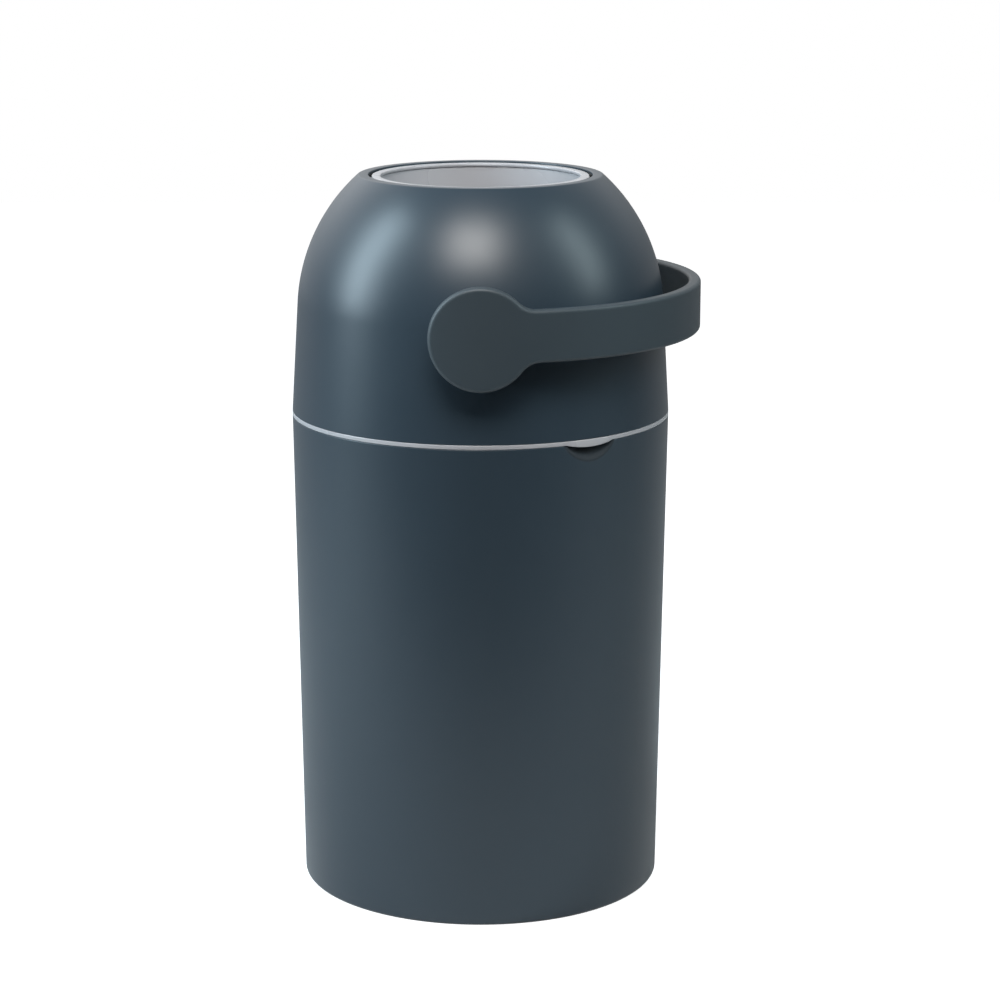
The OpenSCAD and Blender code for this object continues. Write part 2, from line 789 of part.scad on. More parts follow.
// The band's edges, above and below the axle, and the middles of their blends into the disc
edge_up = band_h / 2 + band_up;
edge_down = band_h / 2 - band_up;
function blend_x(edge) = sqrt(pow(disc_r + blend_r, 2) - pow(edge + blend_r, 2));
function blend_a(edge) = atan2(edge + blend_r, blend_x(edge));
disc_steps = 24;
blend_steps = 6;
band_steps = 40;
edge_steps = 3;
tip_a = 176;

// Layers through the thickness: radius about the bin's axis, and how far the outline draws in
layers = concat(
    [for (i = [0:edge_steps]) let (a = 90 * i / edge_steps)
        [handle_in_r + handle_round * (1 - cos(a)), handle_round * (1 - sin(a))]],
    [for (i = [edge_steps:-1:0]) let (a = 90 * i / edge_steps)
        [handle_r - handle_round * (1 - cos(a)), handle_round * (1 - sin(a))]]
);

// Half outline of a disc and its blend into one edge of the band, seen from the front, drawn in
// by an inset
function disc_outline(inset, edge) =
    let (blend = blend_a(edge))
    concat(
        [for (i = [0:disc_steps]) let (a = tip_a + (blend - tip_a) * i / disc_steps)
            [(disc_r - inset) * cos(a), (disc_r - inset) * sin(a)]],
        [for (i = [1:blend_steps]) let (a = 180 + blend + (90 - blend) * i / blend_steps)
            [blend_x(edge) + (blend_r + inset) * cos(a), edge + blend_r + (blend_r + inset) * sin(a)]]
    );

// One edge of one layer, from the front disc round to the rear disc, as heights off the axle
function layer_edge(layer, edge) =
    let (
        r = layer[0],
        front = [for (p = disc_outline(layer[1], edge)) [p[0], -sqrt(r * r - p[0] * p[0]), p[1]]],
        start = asin(blend_x(edge) / handle_r),
        band = [for (i = [1:band_steps - 1]) let (a = start + (180 - 2 * start) * i / band_steps)
            [r * sin(a), -r * cos(a), edge - layer[1]]],
        count = len(front)
    )
    concat(front, band, [for (i = [count - 1:-1:0]) [front[i][0], -front[i][1], front[i][2]]]);

module handle_loft() {
    upper = [for (layer = layers) layer_edge(layer, edge_up)];
    lower = [for (layer = layers) layer_edge(layer, edge_down)];
    depth = len(layers);
    stations = len(upper[0]);
    points = [for (s = [0:stations - 1]) each concat(
        [for (k = [0:depth - 1]) upper[k][s]],
        [for (k = [depth - 1:-1:0]) let (p = lower[k][s]) [p[0], p[1], -p[2]]]
    )];
    loop = 2 * depth;
    sides = [for (s = [0:stations - 2], j = [0:loop - 1])
        let (a = s * loop + j, b = s * loop + (j + 1) % loop)
            each [[a, b, b + loop], [a, b + loop, a + loop]]];
    last = (stations - 1) * loop;
    caps = [for (k = [0:depth - 2]) let (a = k, b = k + 1, c = loop - 2 - k, d = loop - 1 - k) each [
        [a, c, b], [a, d, c],
        [last + a, last + b, last + c], [last + a, last + c, last + d]
    ]];
    polyhedron(points, concat(sides, caps), convexity = 6);
}

module handle() {
    color(dark) difference() {
        translate([0, 0, axle_z]) handle_loft();
        for (rear = [false, true]) on_axle(rear) {
            double_d(drive_r + slip, drive_flat + slip, handle_in_r + key_h + slip);
            cylinder(r = bolt_r + fit, h = bolt_tip_y + end_gap);
        }
    }
}

// ---- Piston: two shells closed on a weight, with a ring between them that seals in the tube

module piston_shell() {
    height = piston_h / 2 - fit;
    soft = piston_round;
    rib_z = weight_t / 2;
    rib_in = weight_hole_r + weight_land;
    for (a = [0:60:300]) rotate([0, 0, a]) translate([rib_in, -rib_t / 2, rib_z])
        cube([groove_r - rib_in - piston_wall / 2, rib_t, height - rib_z - piston_wall / 2]);
    difference() {
        rotate_extrude() polygon(concat(
            [[0, 0], [groove_r, 0], [groove_r, ring_h / 2], [piston_r, ring_h / 2]],
            arc(piston_r - soft, height - soft, soft, 0, 90, 4),
            [[0, height]]
        ));
        translate([0, 0, -eps]) cylinder(r = groove_r - piston_wall, h = height - piston_wall);
    }
}

module piston_top() {
    color(light) translate([0, 0, axle_z + piston_mid + fit]) piston_shell();
}

module piston_base() {
    color(light) translate([0, 0, axle_z + piston_mid - fit]) mirror([0, 0, 1]) piston_shell();
}

module piston_weight() {
    color(steel) translate([0, 0, axle_z + piston_mid - weight_t / 2])
        ring(weight_r, weight_hole_r, weight_t);
}

module piston_ring() {
    color(black_rubber) translate([0, 0, axle_z + piston_mid]) rotate_extrude() polygon(concat(
        [[groove_r + fit, -ring_h / 2 + fit], [ring_r - 1, -ring_h / 2 + fit]],
        arc(ring_r - 1, 0, 1, -60, 60, 4),
        [[ring_r - 1, ring_h / 2 - fit], [groove_r + fit, ring_h / 2 - fit]]
    ));
}

bucket();
bag_ring();
hinge_pin();
dome();
base_plate();
rim_gasket();
top_seal();
lower_seal();
head_screws();
front_bush();
rear_bush();
drum_tube();
front_socket();
rear_socket();
upper_ball();
lower_ball();
upper_rim();
lower_rim();
front_axle();
rear_axle();
axle_screws();
screw_plugs();
handle();
piston_top();
piston_base();
piston_weight();
piston_ring();
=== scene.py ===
"""Looks of the nappy bin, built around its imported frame. Blender 4.5, metres."""

import logging
import math
from dataclasses import dataclass
from enum import Enum
from typing import Callable, Iterable, Sequence

import bmesh
import bpy
import numpy as np
from mathutils import Matrix, Vector


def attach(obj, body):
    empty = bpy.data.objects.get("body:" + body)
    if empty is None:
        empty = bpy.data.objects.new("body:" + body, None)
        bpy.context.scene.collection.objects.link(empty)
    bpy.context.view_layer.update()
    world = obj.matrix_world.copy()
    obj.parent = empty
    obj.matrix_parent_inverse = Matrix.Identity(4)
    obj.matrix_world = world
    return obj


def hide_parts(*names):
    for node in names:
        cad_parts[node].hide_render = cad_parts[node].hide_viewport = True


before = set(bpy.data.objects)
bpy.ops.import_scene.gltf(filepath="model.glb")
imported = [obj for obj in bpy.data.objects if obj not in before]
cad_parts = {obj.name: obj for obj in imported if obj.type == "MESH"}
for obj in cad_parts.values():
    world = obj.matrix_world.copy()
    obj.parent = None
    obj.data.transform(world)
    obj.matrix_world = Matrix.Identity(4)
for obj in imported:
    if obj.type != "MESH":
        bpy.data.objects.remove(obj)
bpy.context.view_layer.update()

log = logging.getLogger("nappy_bin")

Point = tuple[float, float]
Colour = tuple[float, float, float]
Spot = tuple[float, float, float]
Grade = tuple[float, float, float, float]
Shaper = Callable[[np.ndarray, np.ndarray, np.ndarray], tuple[np.ndarray, np.ndarray]]

ROUND_STEPS = 288
MERGE = 1e-6
SHARP = math.radians(32)
JOINT = 0.00005  # gap where two pieces of one body meet
OVERSHOOT = 0.004  # how far a cutter reaches past what it cuts
OVERLAP = 0.001  # how far meshes of one piece reach into each other
ON_SIDE = Matrix.Rotation(math.radians(90), 4, "X")  # turns +Z to the front


class Body(str, Enum):
    """The rigid bodies that pieces ride on."""

    BUCKET = "bucket"
    HEAD = "head"
    DRUM = "drum"
    PISTON = "piston"


class Slot(str, Enum):
    """The record's material slots."""

    SHELL = "dark_shell"
    HANDLE = "dark_handle"
    INNER = "dark_inner"
    LIGHT = "light_plastic"
    WHITE = "white_plastic"
    RUBBER = "seal_rubber"
    STEEL = "steel"


# ---------------------------------------------------------------- nodes


class NodeSheet:
    """A node tree, with short ways to add nodes and links."""

    def __init__(self, tree: bpy.types.NodeTree) -> None:
        """Takes the tree."""
        self.tree = tree

    def node(self, kind: str, **values: object) -> bpy.types.Node:
        """Adds a node.

        Args:
            kind: Node type after the word ShaderNode.
            values: Properties of the node.

        Returns:
            The node.
        """
        made = self.tree.nodes.new(f"ShaderNode{kind}")
        for key, value in values.items():
            setattr(made, key, value)
        return made

    def feed(self, value: object, target: bpy.types.NodeSocket) -> None:
        """Links a socket to an input, or sets the input to a plain value."""
        if isinstance(value, bpy.types.NodeSocket):
            self.tree.links.new(value, target)
        else:
            target.default_value = value

    def math(self, operation: str, *values: object) -> bpy.types.NodeSocket:
        """Adds a math node.

        Args:
            operation: Name of the operation.
            values: Two or three sockets or numbers.

        Returns:
            The node's result.
        """
        made = self.node("Math", operation=operation)
        for value, target in zip(values, made.inputs):
            self.feed(value, target)
        return made.outputs[0]

    def graded(self, source: bpy.types.NodeSocket, ends: Grade,
               smooth: bool = True) -> bpy.types.NodeSocket:
        """Maps a value from one range to another.

        Args:
            source: The value.
            ends: Its lowest and highest value, and what they become.
            smooth: False for a straight ramp.

        Returns:
            The mapped value.
        """
        made = self.node("MapRange", interpolation_type="SMOOTHSTEP" if smooth else "LINEAR")
        for name, value in zip(("From Min", "From Max", "To Min", "To Max"), ends):
            self.feed(value, made.inputs[name])
        self.feed(source, made.inputs["Value"])
        return made.outputs["Result"]

    def mixed(self, factor: bpy.types.NodeSocket, first: object,
              second: object) -> bpy.types.NodeSocket:
        """Mixes two colours.

        Args:
            factor: Share of the second.
            first: A socket or a colour.
            second: A socket or a colour.

        Returns:
            The mixed colour.
        """
        made = self.node("Mix", data_type="RGBA")
        for name, value in (("Factor", factor), ("A", first), ("B", second)):
            self.feed(value, made.inputs[name])
        return made.outputs["Result"]

    def place(self) -> bpy.types.NodeSocket:
        """Adds object coordinates."""
        return self.node("TexCoord").outputs["Object"]

    def axis(self, source: bpy.types.NodeSocket, name: str) -> bpy.types.NodeSocket:
        """Takes one axis of a vector."""
        made = self.node("SeparateXYZ")
        self.feed(source, made.inputs[0])
        return made.outputs[name]


class ShaderGroup(NodeSheet):
    """A node group with named inputs and outputs, built once and placed in each material."""

    def __init__(self, name: str, inputs: dict[str, str], outputs: dict[str, str]) -> None:
        """Starts a group.

        Args:
            name: Name of the node tree.
            inputs: Its inputs, each with its kind: Float, Color or Vector.
            outputs: Its outputs, in the same way.
        """
        super().__init__(bpy.data.node_groups.new(name, "ShaderNodeTree"))
        face = self.tree.interface
        for side, sockets in (("INPUT", inputs), ("OUTPUT", outputs)):
            for label, kind in sockets.items():
                face.new_socket(name=label, in_out=side, socket_type=f"NodeSocket{kind}")
        self.inner = self.tree.nodes.new("NodeGroupInput")
        self.outer = self.tree.nodes.new("NodeGroupOutput")

    def noise(self, scale: object, detail: float) -> bpy.types.NodeSocket:
        """Adds noise in object coordinates.

        Args:
            scale: Cells per metre, a socket or a number.
            detail: Octaves.

        Returns:
            The noise, from 0 to 1.
        """
        made = self.node("TexNoise")
        for name, value in (("Vector", self.place()), ("Scale", scale), ("Detail", detail)):
            self.feed(value, made.inputs[name])
        return made.outputs["Fac"]


class MouldedGrain(ShaderGroup):
    """Fine moulded texture, with soft patches in colour and gloss."""

    PATCHES = 11.0
    PATCH_DETAIL = 3.0
    GRAIN_DETAIL = 2.0

    def __init__(self) -> None:
        """Builds the group."""
        super().__init__(
            "moulded_grain",
            {"Tint": "Color", "Tint Spread": "Float", "Grain": "Float", "Relief": "Float",
             "Roughness": "Float", "Roughness Spread": "Float"},
            {"Color": "Color", "Roughness": "Float", "Normal": "Vector"})
        given, result = self.inner.outputs, self.outer.inputs
        patches = self.math("MULTIPLY_ADD", self.noise(self.PATCHES, self.PATCH_DETAIL), 2.0, -1.0)
        tinted, bump = self.node("VectorMath", operation="SCALE"), self.node("Bump")
        rough = self.math("MULTIPLY_ADD", patches, given["Roughness Spread"], given["Roughness"])
        scale = self.math("MULTIPLY_ADD", patches, given["Tint Spread"], 1.0)
        self.feed(given["Tint"], tinted.inputs[0])
        self.feed(scale, tinted.inputs["Scale"])
        self.feed(self.noise(given["Grain"], self.GRAIN_DETAIL), bump.inputs["Height"])
        self.feed(given["Relief"], bump.inputs["Distance"])
        for name, value in (("Color", tinted.outputs[0]), ("Roughness", rough),
                            ("Normal", bump.outputs["Normal"])):
            self.feed(value, result[name])


class EdgeWear(ShaderGroup):
    """Lighter, broken rubbing along convex edges."""

    FLAT = 0.505
    CREST = 0.56
    BREAKS = 160.0
    BREAK_DETAIL = 4.0

    def __init__(self) -> None:
        """Builds the group."""
        super().__init__("edge_wear", {"Color": "Color", "Worn": "Color", "Amount": "Float"},
                         {"Color": "Color"})
        given = self.inner.outputs
        bend = self.node("NewGeometry").outputs["Pointiness"]
        crest = self.graded(bend, (self.FLAT, self.CREST, 0.0, 1.0), smooth=False)
        broken = self.math("MULTIPLY", crest, self.noise(self.BREAKS, self.BREAK_DETAIL))
        factor = self.math("MULTIPLY", broken, given["Amount"])
        self.feed(self.mixed(factor, given["Color"], given["Worn"]), self.outer.inputs["Color"])


# ---------------------------------------------------------------- finishes


@dataclass(frozen=True)
class Finish:
    """A finish of the bin: its colour, gloss, moulded grain and wear."""

    slot: Slot
    colour: Colour
    roughness: float
    roughness_spread: float = 0.03
    colour_spread: float = 0.04
    grain: float = 2600.0
    relief: float = 0.00001
    worn: Colour = (0.3, 0.3, 0.3)
    wear: float = 0.1
    specular: float = 0.5
    metallic: float = 0.0
    coat: float = 0.0
    coat_roughness: float = 0.2
    sheen: float = 0.0

    def material(self, grain: ShaderGroup, wear: ShaderGroup) -> bpy.types.Material:
        """Builds the material.

        Args:
            grain: The moulded grain group.
            wear: The edge wear group.

        Returns:
            The material, named after its slot.
        """
        made = bpy.data.materials.new(self.slot.value)
        made.use_nodes = True
        sheet = NodeSheet(made.node_tree)
        texture, rubbed = (sheet.node("Group", node_tree=group.tree) for group in (grain, wear))
        for node, values in (
                (texture, {"Tint": (*self.colour, 1), "Tint Spread": self.colour_spread,
                           "Grain": self.grain, "Relief": self.relief,
                           "Roughness": self.roughness, "Roughness Spread": self.roughness_spread}),
                (rubbed, {"Color": texture.outputs["Color"], "Worn": (*self.worn, 1),
                          "Amount": self.wear}),
                (made.node_tree.nodes["Principled BSDF"],
                 {"Base Color": rubbed.outputs["Color"], "Roughness": texture.outputs["Roughness"],
                  "Normal": texture.outputs["Normal"], "Metallic": self.metallic,
                  "Specular IOR Level": self.specular, "Coat Weight": self.coat,
                  "Coat Roughness": self.coat_roughness, "Sheen Weight": self.sheen})):
            for name, value in values.items():
                sheet.feed(value, node.inputs[name])
        made.diffuse_color = (*self.colour, 1)
        return made


class Palette:
    """The finishes of the bin, and the materials built from them."""

    FINISHES = (
        Finish(Slot.SHELL, (0.018, 0.030, 0.042), 0.38, worn=(0.10, 0.12, 0.13), wear=0.25),
        Finish(Slot.HANDLE, (0.0235, 0.0345, 0.043), 0.52, worn=(0.12, 0.14, 0.15), wear=0.25,
               grain=3200.0, relief=0.000016),
        Finish(Slot.INNER, (0.012, 0.014, 0.016), 0.5, worn=(0.05, 0.05, 0.05)),
        Finish(Slot.LIGHT, (0.335, 0.33, 0.345), 0.27, colour_spread=0.015, worn=(0.50, 0.50, 0.53),
               wear=0.2, relief=0.000006),
        Finish(Slot.WHITE, (0.74, 0.74, 0.71), 0.45, colour_spread=0.02, worn=(0.8, 0.8, 0.78)),
        Finish(Slot.RUBBER, (0.014, 0.014, 0.015), 0.72, roughness_spread=0.06, colour_spread=0.12,
               grain=1500.0, relief=0.00002, worn=(0.06, 0.06, 0.06), wear=0.3, sheen=0.15),
        Finish(Slot.STEEL, (0.56, 0.56, 0.58), 0.27, roughness_spread=0.07, grain=900.0,
               relief=0.000004, worn=(0.75, 0.75, 0.76), wear=0.4, metallic=1.0),
    )

    # Inside the scoop, the colour below is painted shade standing in for the recess's shadow; the
    # extra roughness is a real matte finish.
    SHADE_AND_MATTE_EDGE = 0.0009
    DULL_ROUGHNESS = 0.4
    PAINTED_SHADE_COLOUR = (0.010, 0.015, 0.020, 1)

    def __init__(self) -> None:
        """Builds the shader groups and one material for each finish."""
        grain, wear = MouldedGrain(), EdgeWear()
        self.made = {finish.slot: finish.material(grain, wear) for finish in self.FINISHES}

    def paint_shade_and_dull(self, slot: Slot, centre: Vector, radius: float, top: float) -> None:
        """Paints shade into a material inside a ball, below a height, and makes it rougher there:
        the darker colour is painted shade for the scoop's recess.

        Args:
            slot: The material's slot.
            centre: Centre of the ball.
            radius: Its radius.
            top: The height.
        """
        sheet = NodeSheet(self.made[slot].node_tree)
        inputs = sheet.tree.nodes["Principled BSDF"].inputs
        colour, gloss = (inputs[name].links[0].from_socket for name in ("Base Color", "Roughness"))
        place, away = sheet.place(), sheet.node("VectorMath", operation="DISTANCE")
        sheet.feed(place, away.inputs[0])
        sheet.feed(centre, away.inputs[1])
        edge = (radius, radius + self.SHADE_AND_MATTE_EDGE, 1.0, 0.0)
        inside = sheet.graded(away.outputs["Value"], edge, smooth=False)
        painted_shade_and_matte_mask = sheet.math("MULTIPLY", inside, sheet.math("LESS_THAN", sheet.axis(place, "Z"), top))
        rough = sheet.math("MULTIPLY_ADD", painted_shade_and_matte_mask, self.DULL_ROUGHNESS, gloss)
        sheet.feed(rough, inputs["Roughness"])
        # Painted shade: the base colour turns darker inside the scoop.
        sheet.feed(sheet.mixed(painted_shade_and_matte_mask, colour, self.PAINTED_SHADE_COLOUR), inputs["Base Color"])

    def dress(self, piece: bpy.types.Object, slot: Slot) -> None:
        """Gives a piece the material of a slot.

        Args:
            piece: A piece of the scene or a node of the frame.
            slot: The slot.
        """
        if not piece.data.materials:
            piece.data.materials.append(self.made[slot])
        for place in piece.material_slots:
            place.material = self.made[slot]


# ---------------------------------------------------------------- mesh tools


class Profile:
    """A closed outline in the plane of radius and height, drawn corner by corner."""

    GUARD = 0.0004
    SHARE = 0.48

    def __init__(self, steps: int = 6) -> None:
        """Starts an empty outline.

        Args:
            steps: Edges of each rounded corner.
        """
        self.corners: list[tuple[float, float, float]] = []
        self.steps = steps

    def to(self, r: float, z: float, soft: float = 0.0) -> "Profile":
        """Adds a corner.

        Args:
            r: Radius.
            z: Height.
            soft: Rounding of the corner.

        Returns:
            The profile.
        """
        self.corners.append((r, z, soft))
        return self

    def arc(self, r: float, z: float, radius: float, start: float, end: float,
            steps: int) -> "Profile":
        """Adds an arc.

        Args:
            r: Radius at which the arc's centre lies.
            z: Height of its centre.
            radius: The arc's own radius.
            start: First angle, in degrees.
            end: Last angle, in degrees.
            steps: Edges.

        Returns:
            The profile.
        """
        for i in range(steps + 1):
            a = math.radians(start + (end - start) * i / steps)
            self.to(r + radius * math.cos(a), z + radius * math.sin(a))
        return self

    def line(self, r: float, z: float, steps: int, soft: float = 0.0) -> "Profile":
        """Adds a straight side in equal steps from the last corner.

        Args:
            r: Radius of its end.
            z: Height of its end.
            steps: Edges.
            soft: Rounding of its end.

        Returns:
            The profile.
        """
        from_r, from_z, _ = self.corners[-1]
        for i in range(1, steps):
            self.to(from_r + (r - from_r) * i / steps, from_z + (z - from_z) * i / steps)
        return self.to(r, z, soft)

    def outline(self) -> list[Point]:
        """Rounds the corners, with a guard point on each side of a rounding.

        Returns:
            The points of the outline.
        """
        points: list[Point] = []
        count = len(self.corners)
        for i, (r, z, soft) in enumerate(self.corners):
            if soft <= 0:
                points.append((r, z))
                continue
            here = Vector((r, z))
            back = Vector(self.corners[i - 1][:2]) - here
            ahead = Vector(self.corners[(i + 1) % count][:2]) - here
            room = min(back.length, ahead.length)
            back, ahead = back.normalized(), ahead.normalized()
            half = back.angle(ahead) / 2
            reach = min(soft / math.tan(half), self.SHARE * room)
            radius = reach * math.tan(half)
            centre = here + (back + ahead).normalized() * (radius / math.sin(half))
            first, last = here + back * reach, here + ahead * reach
            guard = reach + self.GUARD
            guarded = guard < self.SHARE * room
            if guarded:
                points.append(tuple(here + back * guard))
            start = first - centre
            turn = start.angle_signed(last - centre)
            for k in range(self.steps + 1):
                spoke = start.copy()
                spoke.rotate(Matrix.Rotation(-turn * k / self.steps, 2))
                points.append(tuple(centre + spoke))
            if guarded:
                points.append(tuple(here + ahead * guard))
        return points


def tidied(piece: bpy.types.Object, recalculate: bool = True) -> bpy.types.Object:
    """Merges doubles, drops empty faces, turns faces outwards and shades them smooth.

    Args:
        piece: A mesh object.
        recalculate: False keeps the faces' sides as they are.

    Returns:
        The same object.
    """
    shape = bmesh.new()
    shape.from_mesh(piece.data)
    bmesh.ops.remove_doubles(shape, verts=shape.verts, dist=MERGE)
    bmesh.ops.dissolve_degenerate(shape, edges=shape.edges, dist=MERGE)
    if recalculate:
        bmesh.ops.recalc_face_normals(shape, faces=shape.faces)
    for face in shape.faces:
        face.smooth = True
    shape.to_mesh(piece.data)
    shape.free()
    return piece


def solid(name: str, points: Iterable[Sequence[float]],
          faces: Iterable[Sequence[int]]) -> bpy.types.Object:
    """Makes a mesh object from points and faces.

    Args:
        name: Name of the piece.
        points: Corners.
        faces: Faces, as numbers of corners.

    Returns:
        The object, tidied.
    """
    mesh = bpy.data.meshes.new(name)
    mesh.from_pydata([tuple(p) for p in points], [], [tuple(f) for f in faces])
    piece = bpy.data.objects.new(name, mesh)
    bpy.context.scene.collection.objects.link(piece)
    return tidied(piece)


def even_angles(count: int = ROUND_STEPS) -> list[float]:
    """Angles of even steps round a circle, in radians."""
    return [2 * math.pi * i / count for i in range(count)]


def packed_angles(middle: float, half: float, fine: float, coarse: float) -> list[float]:
    """Angles round a circle that are close together on one side.

    Args:
        middle: Direction of the close ones, in degrees.
        half: How far they reach to each side.
        fine: Step between them.
        coarse: Step between the others.

    Returns:
        The angles, in radians.
    """
    near = round(2 * half / fine)
    far = round((360 - 2 * half) / coarse)
    first = [middle - half + 2 * half * i / near for i in range(near)]
    rest = [middle + half + (360 - 2 * half) * i / far for i in range(far)]
    return [math.radians(a) for a in first + rest]


def revolved(name: str, outline: Sequence[Point], angles: Sequence[float] | None = None,
             shaper: Shaper | None = None) -> bpy.types.Object:
    """Turns a closed outline round the bin's axis.

    Args:
        name: Name of the piece.
        outline: Points of radius and height. Points on the axis become poles.
        angles: Directions of the columns, in radians.
        shaper: Changes radius and height of every point, given angle, radius and height.

    Returns:
        The object.
    """
    turns = np.array(even_angles() if angles is None else angles)
    radius = np.tile([p[0] for p in outline], (len(turns), 1))
    height = np.tile([p[1] for p in outline], (len(turns), 1))
    angle = np.repeat(turns[:, None], len(outline), axis=1)
    if shaper is not None:
        radius, height = shaper(angle, radius, height)
    points = np.stack([radius * np.cos(angle), radius * np.sin(angle), height], axis=2)
    rows = len(outline)
    pole = [p[0] < MERGE for p in outline]
    faces = []
    for i in range(len(turns)):
        a, b = i * rows, (i + 1) % len(turns) * rows
        for j in range(rows):
            k = (j + 1) % rows
            if pole[j] and pole[k]:
                continue
            if pole[j]:
                faces.append((a + j, b + k, a + k))
            elif pole[k]:
                faces.append((a + j, b + j, a + k))
            else:
                faces.append((a + j, b + j, b + k, a + k))
    return solid(name, points.reshape(-1, 3), faces)


def rod(name: str, radius: float, low: float, high: float, columns: int) -> bpy.types.Object:
    """Makes a round rod on the bin's axis.

    Args:
        name: Name of the piece.
        radius: Its radius.
        low: Height of its lower end.
        high: Height of its upper end.
        columns: Number of sides.

    Returns:
        The rod.
    """
    outline = [(0, low), (radius, low), (radius, high), (0, high)]
    return revolved(name, outline, even_angles(columns))


def placed(piece: bpy.types.Object, place: Matrix) -> bpy.types.Object:
    """Moves a piece's mesh, with its object left at the origin."""
    piece.data.transform(place)
    if place.determinant() < 0:
        piece.data.flip_normals()
    return piece


def joined(name: str, parts: Sequence[bpy.types.Object]) -> bpy.types.Object:
    """Puts several meshes into one piece.

    Args:
        name: Name of the piece.
        parts: The meshes, which are used up.

    Returns:
        The piece.
    """
    shape = bmesh.new()
    for part in parts:
        shape.from_mesh(part.data)
        bpy.data.objects.remove(part)
    mesh = bpy.data.meshes.new(name)
    shape.to_mesh(mesh)
    shape.free()
    piece = bpy.data.objects.new(name, mesh)
    bpy.context.scene.collection.objects.link(piece)
    return piece


def baked(piece: bpy.types.Object) -> bpy.types.Object:
    """Replaces a piece's mesh by what its modifiers make of it.

    Args:
        piece: The piece.

    Returns:
        The piece, with no modifier left.
    """
    bpy.context.view_layer.update()
    graph = bpy.context.evaluated_depsgraph_get()
    mesh = bpy.data.meshes.new_from_object(piece.evaluated_get(graph), depsgraph=graph)
    piece.modifiers.clear()
    old, piece.data = piece.data, mesh
    bpy.data.meshes.remove(old)
    mesh.name = piece.name
    return piece


def carved(piece: bpy.types.Object, tool: bpy.types.Object, operation: str) -> bpy.types.Object:
    """Cuts one mesh with another, or adds it.

    Args:
        piece: What is changed.
        tool: What it is changed with, which is used up.
        operation: DIFFERENCE or UNION.

    Returns:
        The piece.
    """
    step = piece.modifiers.new("carve", "BOOLEAN")
    step.object, step.operation, step.solver = tool, operation, "EXACT"
    baked(piece)
    bpy.data.objects.remove(tool)
    tidied(piece, recalculate=False)
    piece.data.set_sharp_from_angle(angle=SHARP)
    return piece


def bevelled(piece: bpy.types.Object, width: float, segments: int = 3) -> bpy.types.Object:
    """Rounds a piece's hard edges and gives it weighted normals.

    Args:
        piece: The piece.
        width: Width of the rounding.
        segments: Edges across it.

    Returns:
        The piece.
    """
    edges = piece.modifiers.new("edges", "BEVEL")
    edges.width, edges.segments = width, segments
    edges.limit_method, edges.angle_limit = "ANGLE", SHARP
    piece.modifiers.new("normals", "WEIGHTED_NORMAL").keep_sharp = True
    return baked(piece)


def prism(name: str, outline: Sequence[Point], low: float, high: float) -> bpy.types.Object:
    """Makes a straight prism along Y.

    Args:
        name: Name of the piece.
        outline: Its section, as points of X and Z.
        low: Y of its first end.
        high: Y of its other end.

    Returns:
        The object.
    """
    count = len(outline)
    points = [(x, y, z) for y in (low, high) for x, z in outline]
    sides = [(i, (i + 1) % count, count + (i + 1) % count, count + i) for i in range(count)]
    return solid(name, points, [*sides, range(count), range(count, 2 * count)])


def block(name: str, low: Sequence[float], high: Sequence[float]) -> bpy.types.Object:
    """Makes a straight block between two corners."""
    section = [(low[0], low[2]), (high[0], low[2]), (high[0], high[2]), (low[0], high[2])]
    return prism(name, section, low[1], high[1])


def flipped(lower: bool) -> Matrix:
    """Turns the lower one of two alike pieces upside down."""
    return Matrix.Diagonal((1, 1, -1 if lower else 1, 1))


class RingArray:
    """Geometry Nodes tree that repeats its carrier's mesh round the bin's axis."""

    def __init__(self) -> None:
        """Builds the tree, with named inputs for the count, the first angle and the material."""
        tree = bpy.data.node_groups.new("ring_array", "GeometryNodeTree")
        face = tree.interface
        face.new_socket(name="Piece", in_out="INPUT", socket_type="NodeSocketGeometry")
        self.inputs: dict[str, str] = {}
        for name, kind in (("Count", "Int"), ("First Angle", "Float"), ("Finish", "Material")):
            made = face.new_socket(name=name, in_out="INPUT", socket_type=f"NodeSocket{kind}")
            self.inputs[name] = made.identifier
        face.new_socket(name="Pieces", in_out="OUTPUT", socket_type="NodeSocketGeometry")
        sheet = NodeSheet(tree)
        given, result = tree.nodes.new("NodeGroupInput"), tree.nodes.new("NodeGroupOutput")
        points, index, copies, real, finish = (tree.nodes.new(f"GeometryNode{kind}") for kind in (
            "Points", "InputIndex", "InstanceOnPoints", "RealizeInstances", "SetMaterial"))
        spin = sheet.node("CombineXYZ")
        step = sheet.math("DIVIDE", 2 * math.pi, given.outputs["Count"])
        turn = sheet.math("MULTIPLY_ADD", index.outputs[0], step, given.outputs["First Angle"])
        for source, target in (
                (given.outputs["Count"], points.inputs["Count"]),
                (turn, spin.inputs["Z"]),
                (points.outputs[0], copies.inputs["Points"]),
                (given.outputs["Piece"], copies.inputs["Instance"]),
                (spin.outputs[0], copies.inputs["Rotation"]),
                (copies.outputs[0], real.inputs[0]),
                (real.outputs[0], finish.inputs["Geometry"]),
                (given.outputs["Finish"], finish.inputs["Material"]),
                (finish.outputs[0], result.inputs[0])):
            sheet.feed(source, target)
        self.tree = tree

    def repeat(self, piece: bpy.types.Object, count: int, first: float,
               finish: bpy.types.Material) -> bpy.types.Object:
        """Repeats a piece round the bin's axis.

        Args:
            piece: The piece, in its place towards +X.
            count: Number of copies.
            first: Angle of the first, in degrees.
            finish: Their material.

        Returns:
            The piece, now holding all copies in one plain mesh.
        """
        step = piece.modifiers.new("ring", "NODES")
        step.node_group = self.tree
        step[self.inputs["Count"]] = count
        step[self.inputs["First Angle"]] = math.radians(first)
        step[self.inputs["Finish"]] = finish
        return baked(piece)


# ---------------------------------------------------------------- the bin


